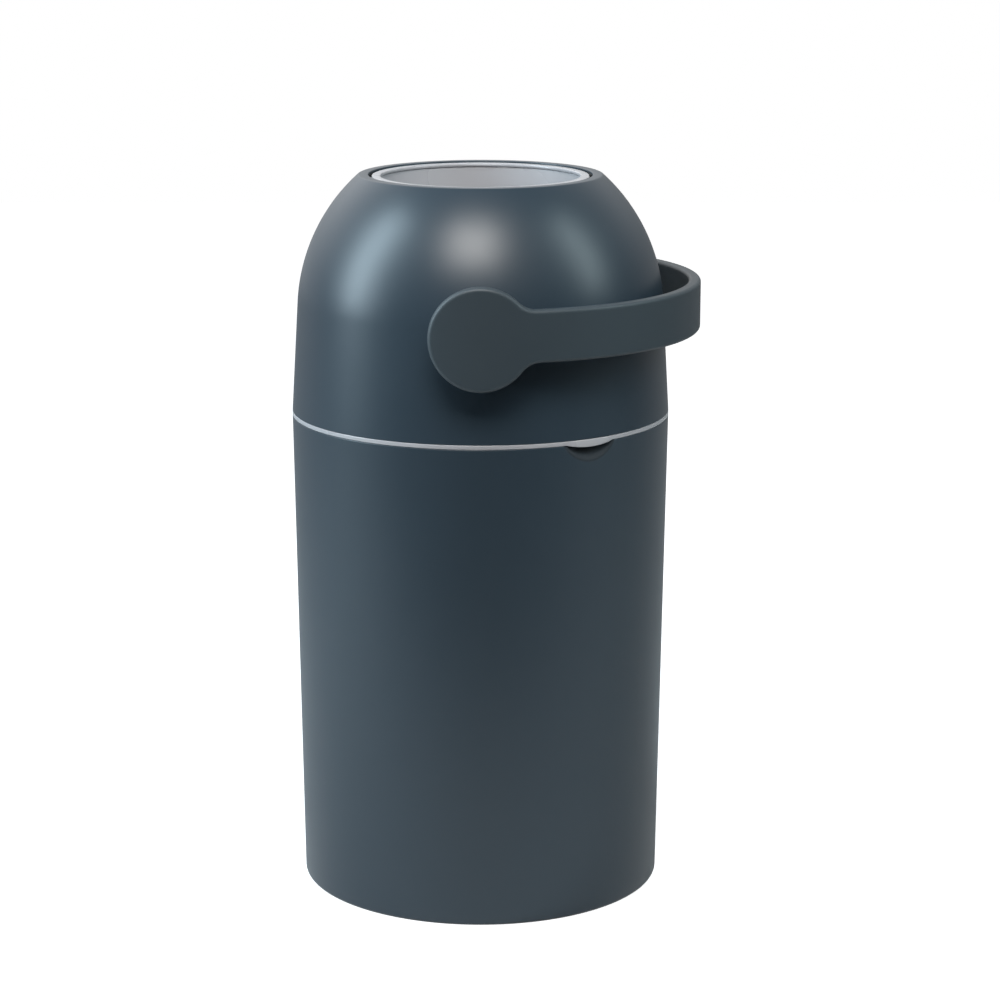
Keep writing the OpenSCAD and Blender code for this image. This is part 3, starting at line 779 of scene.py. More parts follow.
@dataclass(frozen=True)
class Layout:
    """Heights and radii that the sub-assemblies share."""

    seam_r: float = 0.140
    bucket_h: float = 0.356
    plate_z: float = 0.3562
    skirt_z: float = 0.3592
    dome_z: float = 0.432
    axle_z: float = 0.4375
    hinge_z: float = 0.3577
    hinge_r: float = 0.147
    ball_r: float = 0.1244
    sweep_r: float = 0.125
    mouth_r: float = 0.0824
    scoop_angle: float = -56.0
    screw_ring_r: float = 0.1303
    screw_first: float = -26.0

    def hinge(self) -> Matrix:
        """Place at the hinge: X outwards, Y along the pin."""
        turn = Matrix.Rotation(math.radians(self.scoop_angle + 180), 4, "Z")
        return turn @ Matrix.Translation((self.hinge_r, 0, self.hinge_z))

    def axle(self) -> Matrix:
        """Place at the axle's height, on the bin's axis."""
        return Matrix.Translation((0, 0, self.axle_z))

    def along_axle(self, rear: bool) -> Matrix:
        """Place on the axle: Z outwards, to the front or to the rear."""
        return Matrix.Diagonal((1, -1 if rear else 1, 1, 1)) @ self.axle() @ ON_SIDE


class Builder:
    """What every sub-assembly needs: shared sizes, materials and the ring array."""

    def __init__(self) -> None:
        """Builds the materials and the tree."""
        self.layout = Layout()
        self.palette = Palette()
        self.ring = RingArray()

    def finish(self, piece: bpy.types.Object, body: Body, slot: Slot,
               *nodes: str) -> bpy.types.Object:
        """Dresses a piece and hands it to its body.

        Args:
            piece: The piece.
            body: The body that it rides on.
            slot: Its material slot.
            nodes: Nodes of the frame that it stands for.

        Returns:
            The piece.
        """
        self.palette.dress(piece, slot)
        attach(piece, body.value)
        if nodes:
            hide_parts(*nodes)
        faces = len(piece.data.polygons)
        log.info("%s: %d faces on %s, %s", piece.name, faces, body.value, slot.value)
        return piece

    def keep(self, slot: Slot, *nodes: str) -> None:
        """Dresses nodes of the frame that stay as they are.

        Args:
            slot: Their material slot.
            nodes: Their names.
        """
        for name in nodes:
            self.palette.dress(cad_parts[name], slot)
            log.info("%s: kept from the frame, %s", name, slot.value)


@dataclass
class Assembly:
    """A part of the bin, with what it is built with."""

    make: Builder

    @property
    def layout(self) -> Layout:
        """Sizes shared with the other parts."""
        return self.make.layout


@dataclass
class Bucket(Assembly):
    """The bucket with its scoop, bag ring rests and hinge ears, and the bag ring."""

    foot_r: float = 0.1345
    wall: float = 0.0026
    floor_lift: float = 0.004
    foot_w: float = 0.005
    foot_round: float = 0.003
    foot_edge: float = 0.0008
    floor_round: float = 0.006
    rim_round: float = 0.0006
    rim_in_r: float = 0.1374
    scoop_x: float = 0.169575
    scoop_up: float = 0.016383
    scoop_ball: float = 0.040991
    scoop_edge: float = 0.0009
    scoop_low: float = 0.3425
    rest_count: int = 8
    rest_t: float = 0.0024
    rest_reach: float = 0.005
    ring_z: float = 0.3265
    ring_top: float = 0.353
    ring_out_r: float = 0.131
    ring_in_r: float = 0.119
    ring_t: float = 0.0024
    ring_edge: float = 0.0008
    ring_fillet: float = 0.0012
    ring_bend: float = 0.0015
    pin_r: float = 0.0025
    barrel_r: float = 0.006
    ear_w: float = 0.010
    ear_y: float = 0.0179
    ear_drop: float = 0.026
    ear_top: float = -0.0021
    ear_root: float = 0.0085
    ear_bite: float = 0.0004
    edge: float = 0.0005
    floor_rows: int = 8
    round_rows: int = 8
    wall_rows: int = 40
    inner_rows: int = 30
    scoop_rows: int = 22

    @property
    def tilt(self) -> float:
        """Lean of the wall, in radians."""
        return math.atan((self.layout.seam_r - self.foot_r) / self.layout.bucket_h)

    def wall_r(self, z: float | np.ndarray) -> float | np.ndarray:
        """Outer radius at a height, or at each of many heights."""
        place = self.layout
        return self.foot_r + (place.seam_r - self.foot_r) * z / place.bucket_h

    def corner(self, r: float, soft: float) -> float:
        """Radius of the centre of a rounding between the floor and the wall."""
        return r - soft * (1 - math.sin(self.tilt)) / math.cos(self.tilt)

    def profile(self) -> list[Point]:
        """Section of the bucket, with close rows where the scoop is.

        Returns:
            Points of radius and height.
        """
        top, lean = self.layout.bucket_h, math.degrees(self.tilt)
        floor = self.floor_lift + self.wall
        foot = self.corner(self.foot_r, self.foot_round)
        inner = self.wall_r(floor) - self.wall
        step_in = self.layout.seam_r - self.rim_in_r
        knee, bend = top - 2 * self.rim_round, floor + self.floor_round
        shape = Profile(5).to(0, self.floor_lift)
        shape.line(foot - self.foot_w, self.floor_lift, self.floor_rows, self.foot_edge)
        shape.to(foot - self.foot_w, 0, self.foot_edge)
        shape.arc(foot, self.foot_round, self.foot_round, -90, -lean, self.round_rows)
        shape.line(self.wall_r(self.scoop_low), self.scoop_low, self.wall_rows)
        shape.line(self.wall_r(knee), knee, self.scoop_rows)
        shape.to(self.layout.seam_r, top, self.rim_round)
        shape.to(self.rim_in_r, top, self.rim_round)
        shape.to(self.wall_r(knee) - step_in, knee)
        shape.line(self.wall_r(self.scoop_low) - step_in, self.scoop_low, self.scoop_rows)
        shape.line(self.wall_r(bend) - step_in, bend, self.inner_rows)
        shape.arc(self.corner(inner, self.floor_round), bend, self.floor_round, -lean, -90,
                  self.round_rows)
        shape.line(0, floor, self.floor_rows)
        return shape.outline()

    def scoop(self, angle: np.ndarray, radius: np.ndarray,
              height: np.ndarray) -> tuple[np.ndarray, np.ndarray]:
        """Presses the scoop's ball into the wall, with a soft edge.

        Args:
            angle: Directions, in radians.
            radius: Radii.
            height: Heights.

        Returns:
            The new radii and the heights.
        """
        depth = np.clip(self.wall_r(height) - radius, 0, self.wall)
        ball = self.scoop_ball + depth
        away = angle - math.radians(self.layout.scoop_angle)
        up = height - self.layout.bucket_h - self.scoop_up
        inside = ball ** 2 - up ** 2 - (self.scoop_x * np.sin(away)) ** 2
        pressed = np.where((inside > 0) & (np.cos(away) > 0),
                           self.scoop_x * np.cos(away) - np.sqrt(np.maximum(inside, 0)), 1.0)
        close = np.maximum(self.scoop_edge - np.abs(pressed - radius), 0) / self.scoop_edge
        result = np.minimum(pressed, radius) - close ** 2 * self.scoop_edge / 4
        near = (height > self.scoop_low - self.scoop_edge) & (radius > self.ring_out_r)
        return np.where(near, result, radius), height

    def ear(self, side: int) -> bpy.types.Object:
        """One ear of the hinge, with its gusset against the wall.

        Args:
            side: 1 or -1, along the pin.

        Returns:
            The ear, bored for the pin.
        """
        reach = self.layout.hinge_r - self.layout.seam_r
        away = math.atan(self.ear_drop / (reach + self.barrel_r))
        start = away - math.pi / 2
        end = math.pi - math.asin(self.ear_top / self.barrel_r)
        steps = 30
        section = [(self.barrel_r * math.cos(a), self.barrel_r * math.sin(a))
                   for a in (start + (end - start) * i / steps for i in range(steps + 1))]
        section += [(-self.ear_root, self.ear_top), (-self.ear_root, -self.ear_drop - OVERLAP),
                    (-reach - self.ear_bite, -self.ear_drop)]
        middle = side * self.ear_y
        ear = prism(f"ear_{side}", section, middle - self.ear_w / 2, middle + self.ear_w / 2)
        bore = rod("bore", self.pin_r, -self.ear_w, self.ear_w, columns=48)
        placed(bore, Matrix.Translation((0, middle, 0)) @ ON_SIDE)
        return bevelled(carved(ear, bore, "DIFFERENCE"), self.edge)

    def bag_rest(self) -> bpy.types.Object:
        """One upright rib that carries the bag ring."""
        floor = self.floor_lift + self.wall
        low, half = self.wall_r(floor) - self.wall, self.wall / 2
        section = [(low - self.rest_reach, floor - half), (low + half, floor - half),
                   (self.wall_r(self.ring_z) - half, self.ring_z),
                   (self.ring_out_r - self.rest_reach, self.ring_z)]
        return bevelled(prism("bag_rests", section, -self.rest_t / 2, self.rest_t / 2), self.edge)

    def bag_ring(self) -> bpy.types.Object:
        """The ring that the bag is drawn through and folded over."""
        t, wall = self.ring_t, self.ring_out_r - self.rest_reach + OVERLAP
        top, edge = self.ring_top, self.ring_edge
        shape = Profile(4)
        shape.to(wall - t, self.ring_z, edge).to(self.ring_out_r, self.ring_z, edge)
        shape.to(self.ring_out_r, self.ring_z + t, edge)
        shape.to(wall, self.ring_z + t, self.ring_fillet)
        shape.to(wall, top - 3 * t, edge).to(wall + t, top - 2 * t, edge)
        shape.to(wall + t, top, t / 2.2).to(self.ring_in_r, top, t)
        shape.to(self.ring_in_r, top - 2 * t, edge)
        shape.to(wall - t, top - 2 * t, self.ring_bend)
        return revolved("bag_ring_shell", shape.outline())

    def build(self) -> None:
        """Builds and dresses the bucket's pieces."""
        place = self.layout
        angles = packed_angles(place.scoop_angle, half=12, fine=0.24, coarse=1.5)
        shell = revolved("bucket_shell", self.profile(), angles, self.scoop)
        turn = math.radians(place.scoop_angle)
        centre = Vector((self.scoop_x * math.cos(turn), self.scoop_x * math.sin(turn),
                         place.bucket_h + self.scoop_up))
        reach = self.scoop_ball + self.scoop_edge / 2
        # Painted shade in the scoop, with a rougher matte finish there.
        self.make.palette.paint_shade_and_dull(Slot.SHELL, centre, reach, place.plate_z)
        self.make.finish(shell, Body.BUCKET, Slot.SHELL, "bucket")
        rests = self.make.ring.repeat(self.bag_rest(), self.rest_count, 180 / self.rest_count,
                                      self.make.palette.made[Slot.SHELL])
        self.make.finish(rests, Body.BUCKET, Slot.SHELL)
        ears = placed(joined("hinge_ears", [self.ear(-1), self.ear(1)]), place.hinge())
        self.make.finish(ears, Body.BUCKET, Slot.SHELL)
        self.make.finish(self.bag_ring(), Body.BUCKET, Slot.LIGHT, "bag_ring")
        self.make.keep(Slot.STEEL, "hinge_pin")


@dataclass
class Head(Assembly):
    """The domed head: shell, base plate with the seam line, lift tab, seals and screws."""

    dome_r: float = 0.1355
    wall: float = 0.003
    mouth_z: float = 0.533565
    lip_z: float = 0.531496
    mouth_round: float = 0.0025
    mouth_edge: float = 0.0006
    skirt_edge: float = 0.0005
    bowl_wall: float = 0.003
    spigot_r: float = 0.1366
    spigot_in_r: float = 0.1342
    spigot_h: float = 0.006
    spigot_edge: float = 0.0008
    seam_edge: float = 0.0004
    tab_drop: float = 0.0022
    tab_proud: float = 0.0007
    tab_arc: float = 0.083146
    tab_half: float = 0.019
    tab_wide: float = 1.08
    tab_fade: float = 0.25
    tab_front: float = 30.0
    scoop_clear: float = 8.6
    boss_r: float = 0.030
    boss_edge: float = 0.0008
    boss_y: float = 0.1268
    collar_y: float = 0.1385
    bush_r: float = 0.01911
    peg_r: float = 0.0024
    peg_h: float = 0.0043
    peg_edge: float = 0.0006
    peg_ring_r: float = 0.02453
    rib_t: float = 0.0024
    rib_edge: float = 0.0005
    rib_sink: float = 0.0005
    rib_h: float = 0.004
    rib_from: float = 0.1052
    rib_to: float = 0.1238
    screw_count: int = 6
    screw_r: float = 0.00195
    screw_l: float = 0.020
    screw_head_r: float = 0.0035
    screw_head_h: float = 0.0024
    screw_head_edge: float = 0.0007
    screw_edge: float = 0.0006
    screw_boss_r: float = 0.00545
    web_short: float = 0.0012
    fine_edge: float = 0.0003
    gasket_r: float = 0.1264
    gasket_w: float = 0.0065
    gasket_t: float = 0.0028
    gasket_side: float = 0.0006
    gasket_edge: float = 0.0008
    seal_gap: float = 0.0004
    seal_t: float = 0.003
    seal_h: float = 0.006
    knuckle_w: float = 0.025
    arm_edge: float = 0.0004
    barrel_r: float = 0.006
    barrel_edge: float = 0.0005
    pin_r: float = 0.00256
    heel_t: float = 0.003
    heel_l: float = 0.00812
    heel_angle: float = 65.0

    def side(self, profile: Profile, foot: float, ball: float, top: float, steps: int) -> Profile:
        """Draws the skirt's cone and the ball that it is tangent to.

        Args:
            profile: The profile so far, with the skirt's foot as its last corner.
            foot: Radius at the skirt's foot.
            ball: Radius of the ball.
            top: Angle at which the ball ends, in degrees.
            steps: Edges of the ball's arc.

        Returns:
            The profile.
        """
        place = self.layout
        drop = place.skirt_z - place.dome_z
        touch = math.degrees(math.atan2(drop, foot) + math.acos(ball / math.hypot(foot, drop)))
        start = math.radians(touch)
        profile.line(ball * math.cos(start), place.dome_z + ball * math.sin(start), steps=24)
        return profile.arc(0, place.dome_z, ball, touch, top, steps)

    def dome(self) -> bpy.types.Object:
        """The dome's shell, with its mouth, side bosses, bores and stop pegs."""
        place = self.layout
        up = self.mouth_z - self.mouth_round - place.dome_z
        cx = math.sqrt((self.dome_r - self.mouth_round) ** 2 - up ** 2)
        away = math.degrees(math.atan2(up, cx))
        inner = self.dome_r - self.wall
        shape = Profile(5)
        shape.to(place.seam_r, place.skirt_z, self.skirt_edge)
        self.side(shape, place.seam_r, self.dome_r, away, steps=56)
        shape.arc(cx, self.mouth_z - self.mouth_round, self.mouth_round, away, 90, steps=10)
        shape.to(place.mouth_r, self.mouth_z, self.mouth_edge)
        shape.to(place.mouth_r, self.lip_z, self.mouth_edge)
        under = math.degrees(math.asin((self.lip_z - place.dome_z) / inner))
        back = Profile()
        back.to(place.seam_r - self.wall, place.skirt_z)
        self.side(back, place.seam_r - self.wall, inner, under, steps=48)
        shape.corners += back.corners[::-1]
        shell = revolved("dome_shell", shape.outline(), even_angles(320))
        for rear in (False, True):
            at = place.along_axle(rear)
            boss = Profile(4).to(0, self.boss_y).to(self.boss_r, self.boss_y)
            boss.to(self.boss_r, self.collar_y, self.boss_edge).to(0, self.collar_y)
            boss = revolved("boss", boss.outline(), even_angles(128))
            bore = rod("bore", self.bush_r, self.boss_y - OVERSHOOT, self.collar_y + OVERSHOOT,
                       columns=96)
            peg = Profile(4).to(0, -OVERLAP).to(self.peg_r, -OVERLAP)
            peg.to(self.peg_r, self.peg_h, self.peg_edge).to(0, self.peg_h)
            peg = revolved("peg", peg.outline(), even_angles(32))
            spot = at @ Matrix.Translation((0, -self.peg_ring_r, self.collar_y))
            carved(shell, placed(boss, at), "UNION")
            carved(shell, placed(bore, at), "DIFFERENCE")
            carved(shell, placed(peg, spot), "UNION")
        return shell

    def plate_profile(self) -> list[Point]:
        """Section of the base plate, with its bowl and spigot."""
        place = self.layout
        outer = place.sweep_r + self.bowl_wall
        angle = [math.degrees(-math.acos(place.mouth_r / r)) for r in (outer, place.sweep_r)]
        plate = math.degrees(math.asin((place.plate_z - place.axle_z) / outer))
        skirt = math.degrees(math.asin((place.skirt_z - place.axle_z) / place.sweep_r))
        low = place.plate_z - self.spigot_h
        shape = Profile(4)
        shape.arc(0, place.axle_z, outer, angle[0], plate, steps=16)
        shape.to(self.spigot_in_r, place.plate_z)
        shape.line(self.spigot_in_r, low, steps=3, soft=self.spigot_edge / 2)
        shape.to(self.spigot_r, low, self.spigot_edge)
        shape.line(self.spigot_r, place.plate_z, steps=3)
        shape.line(place.seam_r, place.plate_z, steps=3, soft=self.seam_edge)
        shape.to(place.seam_r, place.skirt_z, self.seam_edge)
        shape.arc(0, place.axle_z, place.sweep_r, skirt, angle[1], steps=20)
        return shape.outline()

    def tab(self, angle: np.ndarray, radius: np.ndarray,
            height: np.ndarray) -> tuple[np.ndarray, np.ndarray]:
        """Draws the plate's edge down and out into the lift tab, and clears the spigot there.

        Args:
            angle: Directions, in radians.
            radius: Radii.
            height: Heights.

        Returns:
            The new radii and heights.
        """
        place = self.layout
        away = (angle - math.radians(place.scoop_angle) + math.pi) % (2 * math.pi) - math.pi
        across = np.clip(place.seam_r * np.sin(away), -self.tab_arc, self.tab_arc)
        front = np.abs(away) < math.radians(self.tab_front)
        cleared = front & (np.abs(away) < math.radians(self.scoop_clear))
        edge = radius > self.spigot_in_r - MERGE
        lowered = height < place.skirt_z - self.seam_edge * 1.5
        height = np.where(cleared & edge & (height < place.plate_z), place.plate_z, height)
        arc = place.bucket_h - self.tab_drop + self.tab_arc
        arc = arc - np.sqrt(self.tab_arc ** 2 - across ** 2)
        drop = np.where(front, np.minimum(arc - place.plate_z, 0), 0)
        height = np.where(edge & lowered, height + drop, height)
        swell = self.tab_wide * self.tab_half - np.abs(across)
        swell = np.clip(swell / (self.tab_fade * self.tab_half), 0, 1)
        swell = np.where(front, swell * swell * (3 - 2 * swell), 0)
        outer = radius > place.seam_r - 2 * self.seam_edge
        return radius + np.where(outer, swell * self.tab_proud, 0), height

    def knuckle(self) -> bpy.types.Object:
        """The head's knuckle with its arm and the heel that stops the lid."""
        place = self.layout
        half, t = self.knuckle_w / 2, place.skirt_z - place.plate_z
        reach = place.hinge_r - self.spigot_r + OVERLAP
        shape = Profile(3).to(self.pin_r, -half).to(self.barrel_r, -half, self.barrel_edge)
        shape.to(self.barrel_r, half, self.barrel_edge).to(self.pin_r, half)
        barrel = placed(revolved("barrel", shape.outline(), even_angles(64)), ON_SIDE)
        arm = block("arm", (-reach, -half, -t / 2), (-self.pin_r, half, t / 2))
        heel = block("heel", (self.pin_r, -half, -self.heel_t / 2),
                     (self.heel_l, half, self.heel_t / 2))
        bevelled(arm, self.arm_edge)
        bevelled(heel, self.arm_edge)
        placed(heel, Matrix.Rotation(math.radians(self.heel_angle), 4, "Y"))
        return placed(joined("hinge_knuckle", [barrel, arm, heel]), place.hinge())

    def screw(self) -> bpy.types.Object:
        """One head screw, with a pan head and a cross recess."""
        head, r = self.screw_head_h, self.screw_head_r
        shape = Profile(5).to(0, -head).to(0.85 * r, -head, self.screw_head_edge)
        shape.to(r, 0, self.fine_edge).to(self.screw_r, 0)
        shape.to(self.screw_r, self.screw_l, self.screw_edge).to(0, self.screw_l)
        screw = revolved("head_screw_set", shape.outline(), even_angles(40))
        slot, reach = r / 4.4 / 2, r / 2
        for wide, long in ((slot, reach), (reach, slot)):
            tool = block("cross", (-wide, -long, -head - OVERLAP), (wide, long, -head / 2))
            carved(screw, tool, "DIFFERENCE")
        spot = (self.layout.screw_ring_r, 0, self.layout.plate_z - JOINT)
        return placed(screw, Matrix.Translation(spot))

    def screw_boss(self) -> bpy.types.Object:
        """One boss for a head screw, with its web to the dome's wall."""
        place = self.layout
        top = self.screw_l
        shape = Profile(4).to(self.screw_r + JOINT, 0).to(self.screw_boss_r, 0)
        shape.to(self.screw_boss_r, top, self.screw_edge).to(0, top)
        shape.to(0, top - OVERLAP).to(self.screw_r, top - OVERLAP)
        boss = revolved("screw_bosses", shape.outline(), even_angles(48))
        reach = place.seam_r - self.wall / 2 - place.screw_ring_r - self.web_short
        web = block("web", (self.screw_r + OVERLAP, -self.rib_t / 2, 0),
                    (reach, self.rib_t / 2, top))
        bevelled(web, self.fine_edge)
        spot = (place.screw_ring_r, 0, place.skirt_z)
        return placed(joined("screw_bosses", [boss, web]), Matrix.Translation(spot))

    def gasket(self) -> bpy.types.Object:
        """The gasket that closes on the bag ring."""
        top, slope = self.layout.plate_z, self.gasket_t / 3
        low, side, edge = top - self.gasket_t, self.gasket_side, self.gasket_edge
        out, into = self.gasket_r, self.gasket_r - self.gasket_w
        shape = Profile(5).to(out, top).to(into, top).to(into, low + slope, side)
        shape.to(into + slope, low, edge).to(out - slope, low, edge).to(out, low + slope, side)
        return revolved("bag_gasket", shape.outline())

    def seal(self, name: str, low: float, high: float) -> bpy.types.Object:
        """A band of rubber round the ball, between two heights off the axle.

        Args:
            name: Name of the piece.
            low: Lower height.
            high: Upper height.

        Returns:
            The seal.
        """
        place = self.layout
        inner = place.ball_r + self.seal_gap
        outer = inner + self.seal_t
        shape = Profile()
        for radius, ends in ((inner, (low, high)), (outer, (high, low))):
            angles = (math.degrees(math.asin(z / radius)) for z in ends)
            shape.arc(0, place.axle_z, radius, *angles, steps=8)
        return revolved(name, shape.outline())

    def build(self) -> None:
        """Builds and dresses the head's pieces."""
        make, place = self.make, self.layout
        made = make.palette.made
        shell, light, steel = made[Slot.SHELL], made[Slot.LIGHT], made[Slot.STEEL]
        make.finish(self.dome(), Body.HEAD, Slot.SHELL, "dome")
        bosses = make.ring.repeat(self.screw_boss(), self.screw_count, place.screw_first, shell)
        make.finish(bosses, Body.HEAD, Slot.SHELL)
        angles = packed_angles(place.scoop_angle, half=12, fine=0.2, coarse=1.25)
        plate = revolved("base_plate_shell", self.plate_profile(), angles, self.tab)
        make.finish(plate, Body.HEAD, Slot.LIGHT, "base_plate")
        rib = block("plate_ribs", (self.rib_from, -self.rib_t / 2, place.skirt_z - self.rib_sink),
                    (self.rib_to, self.rib_t / 2, place.skirt_z + self.rib_h))
        ribs = make.ring.repeat(bevelled(rib, self.rib_edge), 2 * self.screw_count,
                                place.screw_first + 90 / self.screw_count, light)
        make.finish(ribs, Body.HEAD, Slot.LIGHT)
        make.finish(self.knuckle(), Body.HEAD, Slot.LIGHT)
        screws = make.ring.repeat(self.screw(), self.screw_count, place.screw_first, steel)
        make.finish(screws, Body.HEAD, Slot.STEEL, "head_screws")
        make.finish(self.gasket(), Body.HEAD, Slot.RUBBER, "rim_gasket")
        top = self.lip_z - place.axle_z - JOINT
        low = place.skirt_z - place.axle_z + JOINT
        mouth_seal = self.seal("mouth_seal", top - self.seal_h, top)
        bowl_seal = self.seal("bowl_seal", low, low + self.seal_h)
        make.finish(mouth_seal, Body.HEAD, Slot.RUBBER, "top_seal")
        make.finish(bowl_seal, Body.HEAD, Slot.RUBBER, "lower_seal")
        make.keep(Slot.WHITE, "front_bush", "rear_bush")


@dataclass
class Drum(Assembly):
    """The ball-shaped drum: tube, ball shells, rim rings and stub axles."""

    ball_wall: float = 0.0025
    rim_r: float = 0.080
    lip_r: float = 0.0733
    rim_t: float = 0.003
    rim_round: float = 0.0012
    rim_up: float = 0.0952647
    tube_r: float = 0.0744
    tube_out_r: float = 0.0769
    tongue_r: float = 0.0792
    tongue_t: float = 0.001
    tongue_h: float = 0.002
    socket_r: float = 0.01915
    plug_r: float = 0.007
    plug_l: float = 0.09
    slip: float = 0.00015
    seat_edge: float = 0.0005
    joint_edge: float = 0.0003
    tongue_edge: float = 0.0002
    tube_edge: float = 0.0004
    lip_slope: float = 0.0008
    joint_angle: float = 0.6
    seat_angle: float = 0.4

    @property
    def seat_up(self) -> float:
        """Height of a rim ring's seat above the axle."""
        return self.rim_up - self.rim_t

    def half_ball(self, name: str, lower: bool) -> bpy.types.Object:
        """One half of the ball, bored for the tube and the sockets.

        Args:
            name: Name of the piece.
            lower: True for the half that is below at rest.

        Returns:
            The shell.
        """
        ball, seat = self.layout.ball_r, self.seat_up
        inner = ball - self.ball_wall
        bore = self.tube_out_r + self.slip
        under = seat - self.rim_t
        rise = [math.degrees(math.asin(z / r)) for z, r in ((seat, ball), (under, inner))]
        shape = Profile(4)
        shape.to(inner, JOINT).to(ball, JOINT, self.joint_edge)
        shape.arc(0, 0, ball, self.joint_angle, rise[0] - self.seat_angle, steps=64)
        shape.to(math.sqrt(ball ** 2 - seat ** 2), seat, self.seat_edge)
        shape.to(bore, seat, self.joint_edge).to(bore, under)
        shape.arc(0, 0, inner, rise[1], self.joint_angle, steps=40)
        shell = revolved(name, shape.outline())
        for turn in (90, -90):
            hole = rod("hole", self.socket_r, 0, ball + OVERSHOOT, columns=96)
            placed(hole, Matrix.Rotation(math.radians(turn), 4, "X"))
            carved(shell, hole, "DIFFERENCE")
        return placed(shell, self.layout.axle() @ flipped(lower))

    def rim(self, name: str, lower: bool) -> bpy.types.Object:
        """One rim ring, with its lip and its tongue.

        Args:
            name: Name of the piece.
            lower: True for the one that is below at rest.

        Returns:
            The ring.
        """
        seat, low = self.seat_up, self.seat_up - self.tongue_h
        inner, outer = self.tongue_r - self.tongue_t / 2, self.tongue_r + self.tongue_t / 2
        shape = Profile(7)
        shape.to(self.rim_r, seat, self.joint_edge).to(self.rim_r, self.rim_up, self.rim_round)
        shape.to(self.lip_r, self.rim_up, self.rim_round).to(self.lip_r, seat + self.lip_slope)
        shape.to(self.tube_r, seat).to(inner, seat).to(inner, low, self.tongue_edge)
        shape.to(outer, low, self.tongue_edge).to(outer, seat)
        return placed(revolved(name, shape.outline()), self.layout.axle() @ flipped(lower))

    def tube(self) -> bpy.types.Object:
        """The tube that holds the nappy, bored for the two plugs."""
        reach = self.seat_up - JOINT
        shape = Profile(4).to(self.tube_out_r, -reach, self.joint_edge)
        shape.line(self.tube_out_r, reach, steps=4, soft=self.joint_edge)
        shape.to(self.tube_r, reach, self.tube_edge)
        shape.line(self.tube_r, -reach, steps=4, soft=self.tube_edge)
        tube = revolved("tube_shell", shape.outline())
        hole = rod("hole", self.plug_r, -self.plug_l, self.plug_l, columns=64)
        carved(tube, placed(hole, ON_SIDE), "DIFFERENCE")
        return placed(tube, self.layout.axle())

    def build(self) -> None:
        """Builds and dresses the drum's pieces."""
        make = self.make
        make.finish(self.half_ball("upper_ball_shell", False), Body.DRUM, Slot.INNER, "upper_ball")
        make.finish(self.half_ball("lower_ball_shell", True), Body.DRUM, Slot.INNER, "lower_ball")
        make.finish(self.rim("upper_rim_ring", False), Body.DRUM, Slot.LIGHT, "upper_rim")
        make.finish(self.rim("lower_rim_ring", True), Body.DRUM, Slot.LIGHT, "lower_rim")
        make.finish(self.tube(), Body.DRUM, Slot.LIGHT, "drum_tube")
        make.keep(Slot.LIGHT, "front_socket", "rear_socket", "screw_plugs")
        make.keep(Slot.HANDLE, "front_axle", "rear_axle")
        make.keep(Slot.STEEL, "axle_screws")


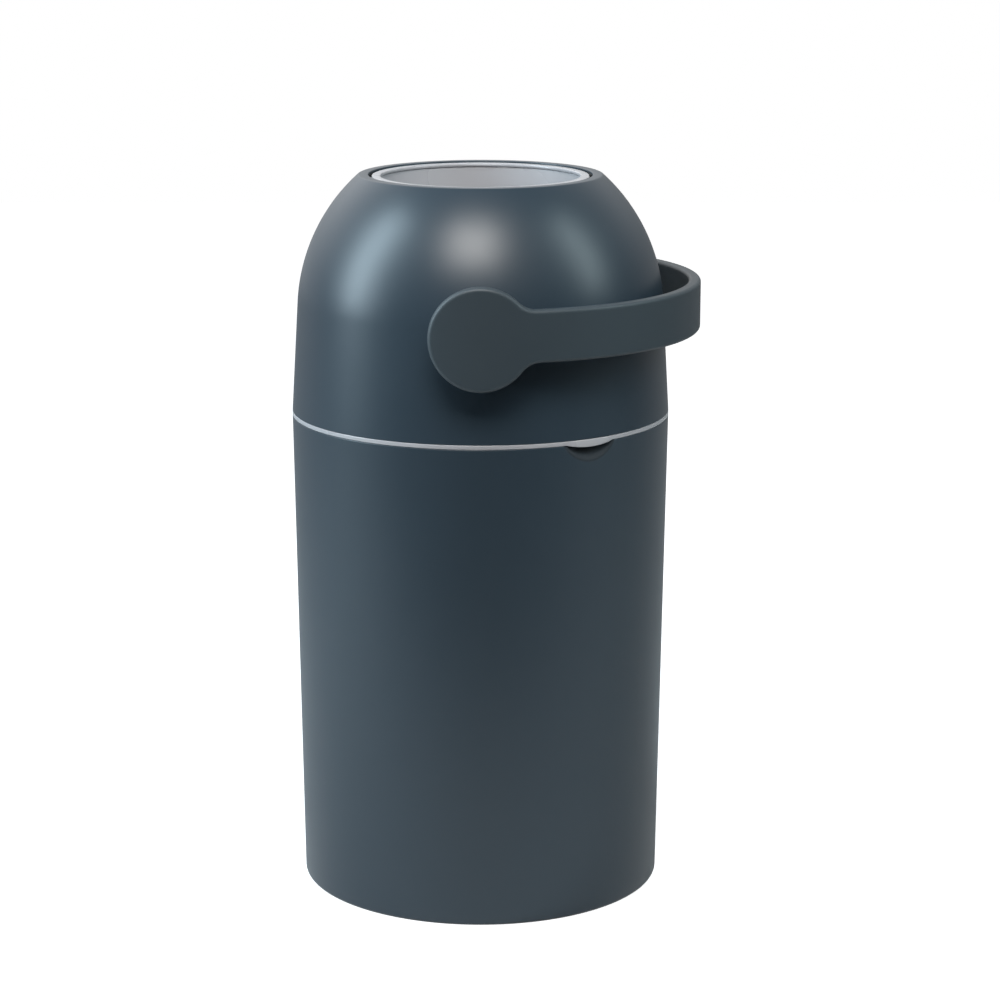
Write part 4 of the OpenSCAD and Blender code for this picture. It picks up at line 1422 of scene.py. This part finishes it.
@dataclass
class Handle(Assembly):
    """The handle: one band round the right side, ending in a disc at the front and the rear."""

    inner_r: float = 0.1535
    outer_r: float = 0.1625
    disc_r: float = 0.03675
    band_h: float = 0.037
    band_up: float = 0.002
    blend_r: float = 0.017
    soft: float = 0.0026
    guard: float = 0.0006
    disc_steps: int = 72
    blend_steps: int = 20
    band_steps: int = 110
    edge_steps: int = 7

    def layers(self) -> list[tuple[float, float]]:
        """Layers through the thickness.

        Returns:
            Radius about the bin's axis, and how far the outline draws in.
        """
        turns = [math.pi / 2 * i / self.edge_steps for i in range(self.edge_steps + 1)]
        round_in = [(self.soft * (1 - math.cos(a)), self.soft * (1 - math.sin(a))) for a in turns]
        inner = [(self.inner_r + up, inset) for up, inset in round_in]
        outer = [(self.outer_r - up, inset) for up, inset in round_in[::-1]]
        held = self.soft + self.guard
        return [(self.inner_r, held), *inner, (self.inner_r + held, 0),
                (self.outer_r - held, 0), *outer, (self.outer_r, held)]

    def half_front(self, inset: float, edge: float) -> list[Point]:
        """Half outline of a disc and its blend into one edge of the band.

        Args:
            inset: How far the outline draws in.
            edge: Height of the band's edge off the axle.

        Returns:
            Points of X and height, from the disc's tip to the band.
        """
        lift = edge + self.blend_r
        blend_x = math.sqrt((self.disc_r + self.blend_r) ** 2 - lift ** 2)
        blend_a = math.atan2(lift, blend_x)
        disc = [math.pi + (blend_a - math.pi) * i / self.disc_steps
                for i in range(self.disc_steps + 1)]
        turn = [math.pi + blend_a + (math.pi / 2 - blend_a) * i / self.blend_steps
                for i in range(1, self.blend_steps + 1)]
        small, large = self.disc_r - inset, self.blend_r + inset
        return [(small * math.cos(a), small * math.sin(a)) for a in disc] + \
               [(blend_x + large * math.cos(a), lift + large * math.sin(a)) for a in turn]

    def edge_line(self, radius: float, inset: float, edge: float) -> list[Vector]:
        """One edge of one layer, from the front disc round to the rear disc.

        Args:
            radius: Radius about the bin's axis.
            inset: How far the outline draws in.
            edge: Height of the band's edge off the axle.

        Returns:
            The points, with heights off the axle.
        """
        flat = self.half_front(inset, edge)
        front = [Vector((x, -math.sqrt(radius ** 2 - x ** 2), z)) for x, z in flat]
        start = math.asin(flat[-1][0] / radius)
        turns = [start + (math.pi - 2 * start) * i / self.band_steps
                 for i in range(1, self.band_steps)]
        band = [Vector((radius * math.sin(a), -radius * math.cos(a), edge - inset)) for a in turns]
        return front + band + [Vector((p.x, -p.y, p.z)) for p in front[::-1]]

    def build(self) -> None:
        """Lofts and dresses the handle."""
        half, place = self.band_h / 2, Vector((0, 0, self.layout.axle_z))
        layers = self.layers()
        upper = [self.edge_line(radius, inset, half + self.band_up) for radius, inset in layers]
        lower = [self.edge_line(radius, inset, half - self.band_up) for radius, inset in layers]
        stations, loop = len(upper[0]), 2 * len(layers)
        points = []
        for s in range(stations):
            points += [place + line[s] for line in upper]
            points += [place + Vector((line[s].x, line[s].y, -line[s].z)) for line in lower[::-1]]
        faces = [(s + j, s + (j + 1) % loop, s + loop + (j + 1) % loop, s + loop + j)
                 for s in range(0, (stations - 1) * loop, loop) for j in range(loop)]
        self.make.finish(solid("handle_band", points, faces), Body.DRUM, Slot.HANDLE, "handle")


@dataclass
class Piston(Assembly):
    """The loose piston that slides in the tube."""

    height: float = 0.036
    low: float = -0.0920647
    outer_r: float = 0.0736
    ring_r: float = 0.074
    groove_r: float = 0.071
    ring_h: float = 0.004
    wall: float = 0.0025
    soft: float = 0.001
    groove_edge: float = 0.0004
    ring_edge: float = 0.0011

    @property
    def middle(self) -> float:
        """Height of the piston's middle."""
        return self.layout.axle_z + self.low + self.height / 2

    def shell(self, name: str, lower: bool) -> bpy.types.Object:
        """One shell of the piston.

        Args:
            name: Name of the piece.
            lower: True for the base.

        Returns:
            The shell.
        """
        top = self.height / 2 - JOINT
        bore = self.groove_r - self.wall
        shape = Profile(6)
        shape.to(bore, 0).to(self.groove_r, 0).to(self.groove_r, self.ring_h / 2)
        shape.to(self.outer_r, self.ring_h / 2, self.groove_edge).to(self.outer_r, top, self.soft)
        shape.line(0, top, steps=12)
        shape.to(0, top - self.wall).to(bore, top - self.wall, self.soft)
        place = Matrix.Translation((0, 0, self.middle)) @ flipped(lower)
        place = place @ Matrix.Translation((0, 0, JOINT))
        return placed(revolved(name, shape.outline()), place)

    def ring(self) -> bpy.types.Object:
        """The sealing ring between the shells."""
        half, inner = self.ring_h / 2 - JOINT, self.groove_r + JOINT
        low, high = self.middle - half, self.middle + half
        shape = Profile(6).to(inner, low).to(self.ring_r, low, self.ring_edge)
        shape.to(self.ring_r, high, self.ring_edge).to(inner, high)
        return revolved("piston_seal", shape.outline())

    def build(self) -> None:
        """Builds and dresses the piston's pieces."""
        make = self.make
        make.finish(self.shell("piston_top_shell", False), Body.PISTON, Slot.LIGHT, "piston_top")
        make.finish(self.shell("piston_base_shell", True), Body.PISTON, Slot.LIGHT, "piston_base")
        make.finish(self.ring(), Body.PISTON, Slot.RUBBER, "piston_ring")
        make.keep(Slot.STEEL, "piston_weight")


# ---------------------------------------------------------------- studio


@dataclass(frozen=True)
class Lamp:
    """A soft box: where it hangs, what it points at, and its size, power and colour."""

    name: str
    place: Spot
    aim: Spot
    size: Point
    power: float
    colour: Colour
    mirrored: bool = True

    def build(self) -> None:
        """Hangs the lamp. One that isn't mirrored makes no highlight."""
        light = bpy.data.lights.new(self.name, "AREA")
        light.shape, light.energy, light.color = "RECTANGLE", self.power, self.colour
        light.size, light.size_y = self.size
        lamp = bpy.data.objects.new(self.name, light)
        bpy.context.scene.collection.objects.link(lamp)
        lamp.location = self.place
        lamp.visible_glossy = self.mirrored
        way = Vector(self.aim) - Vector(self.place)
        lamp.rotation_euler = way.to_track_quat("-Z", "Y").to_euler()


@dataclass
class Studio:
    """Camera, lamps, white surroundings and floor."""

    lens: float = 105.92
    sensor: float = 36.0
    camera_place: Spot = (0.0, -2.15568, 0.7879)
    camera_tilt: float = 76.94
    shift: float = 0.0195
    lamps: tuple[Lamp, ...] = (
        Lamp("left_box", place=(-1.25, -0.175, 1.04), aim=(0, 0, 0.38), size=(0.45, 1.3),
             power=29.0, colour=(0.72, 0.90, 1.0)),
        Lamp("right_box", place=(1.172, -0.292, 1.16), aim=(0, 0, 0.38), size=(0.3, 0.95),
             power=8.0, colour=(0.80, 0.97, 1.0)),
        Lamp("top_box", place=(-0.097, -0.872, 1.418), aim=(0, 0, 0.45), size=(0.60, 0.55),
             power=16.5, colour=(1.0, 0.97, 0.94)),
        Lamp("front_box", place=(0.70, -1.10, 1.75), aim=(0, 0, 0.42), size=(1.1, 0.80),
             power=12.5, colour=(0.88, 0.95, 1.0), mirrored=False),
    )
    fill: float = 0.025
    behind_y: Grade = (0.1, 0.8, 0.0, 1.0)
    behind_z: Grade = (0.0, 0.45, 0.28, 0.8)
    behind_x: Grade = (-0.4, 0.3, 2.5, 1.1)
    floor_low: Point = (-3.0, -0.65)
    floor_high: Point = (3.0, 4.0)
    floor_colour: float = 0.65
    floor_roughness: float = 0.9
    floor_specular: float = 0.1
    floor_glow: Grade = (0.25, 1.0, 0.78, 1.0)
    floor_mirror: Grade = (0.3, 1.5, 0.0, 0.2)

    def camera(self) -> None:
        """Sets up the camera at the photograph's viewing angle."""
        data = bpy.data.cameras.new("camera")
        data.lens, data.sensor_width, data.shift_x = self.lens, self.sensor, self.shift
        camera = bpy.data.objects.new("camera", data)
        bpy.context.scene.collection.objects.link(camera)
        camera.location = self.camera_place
        camera.rotation_euler = (math.radians(self.camera_tilt), 0, 0)
        bpy.context.scene.camera = camera

    def world(self) -> None:
        """White surroundings for the camera and behind the bin, grey for the rest."""
        world = bpy.data.worlds.new("studio")
        bpy.context.scene.world = world
        world.use_nodes = True
        sheet = NodeSheet(world.node_tree)
        back, ray = world.node_tree.nodes["Background"].inputs, sheet.node("LightPath").outputs
        way = sheet.node("TexCoord").outputs["Generated"]
        behind = sheet.graded(sheet.axis(way, "Y"), self.behind_y)
        for name, ends in (("Z", self.behind_z), ("X", self.behind_x)):
            behind = sheet.math("MULTIPLY", behind, sheet.graded(sheet.axis(way, name), ends))
        seen = sheet.math("MULTIPLY_ADD", behind, ray["Is Glossy Ray"], self.fill)
        for kind in ("Is Camera Ray", "Is Transmission Ray"):
            seen = sheet.math("MAXIMUM", seen, ray[kind])
        sheet.feed((1, 1, 1, 1), back["Color"])
        sheet.feed(seen, back["Strength"])

    def floor(self) -> None:
        """A white floor that glows a little for the camera and keeps the bin's shadow."""
        (left, front), (right, back) = self.floor_low, self.floor_high
        corners = [(left, front, 0), (right, front, 0), (right, back, 0), (left, back, 0)]
        mesh = bpy.data.meshes.new("floor")
        mesh.from_pydata(corners, [], [(0, 1, 2, 3)])
        floor = bpy.data.objects.new("floor", mesh)
        bpy.context.scene.collection.objects.link(floor)
        paint = bpy.data.materials.new("floor")
        paint.use_nodes = True
        sheet = NodeSheet(paint.node_tree)
        ray, place = sheet.node("LightPath").outputs, sheet.place()
        away = sheet.node("VectorMath", operation="LENGTH")
        sheet.feed(place, away.inputs[0])
        mirror = sheet.graded(sheet.axis(place, "Y"), self.floor_mirror)
        mirror = sheet.math("MULTIPLY", mirror, ray["Is Glossy Ray"])
        glow = sheet.graded(away.outputs["Value"], self.floor_glow)
        glow = sheet.math("MULTIPLY_ADD", glow, ray["Is Camera Ray"], mirror)
        inputs = paint.node_tree.nodes["Principled BSDF"].inputs
        grey = (self.floor_colour,) * 3
        for name, value in (("Base Color", (*grey, 1)), ("Roughness", self.floor_roughness),
                            ("Specular IOR Level", self.floor_specular),
                            ("Emission Color", (1, 1, 1, 1)), ("Emission Strength", glow)):
            sheet.feed(value, inputs[name])
        mesh.materials.append(paint)

    def build(self) -> None:
        """Sets up the whole studio."""
        self.camera()
        self.world()
        self.floor()
        for lamp in self.lamps:
            lamp.build()
        bpy.context.scene.view_settings.view_transform = "Standard"


def main() -> None:
    """Builds the studio and the bin."""
    logging.basicConfig(level=logging.INFO, format="%(message)s")
    Studio().build()
    builder = Builder()
    for part in (Bucket, Head, Drum, Handle, Piston):
        part(builder).build()
        log.info("%s done", part.__name__)


if __name__ == "__main__":
    main()
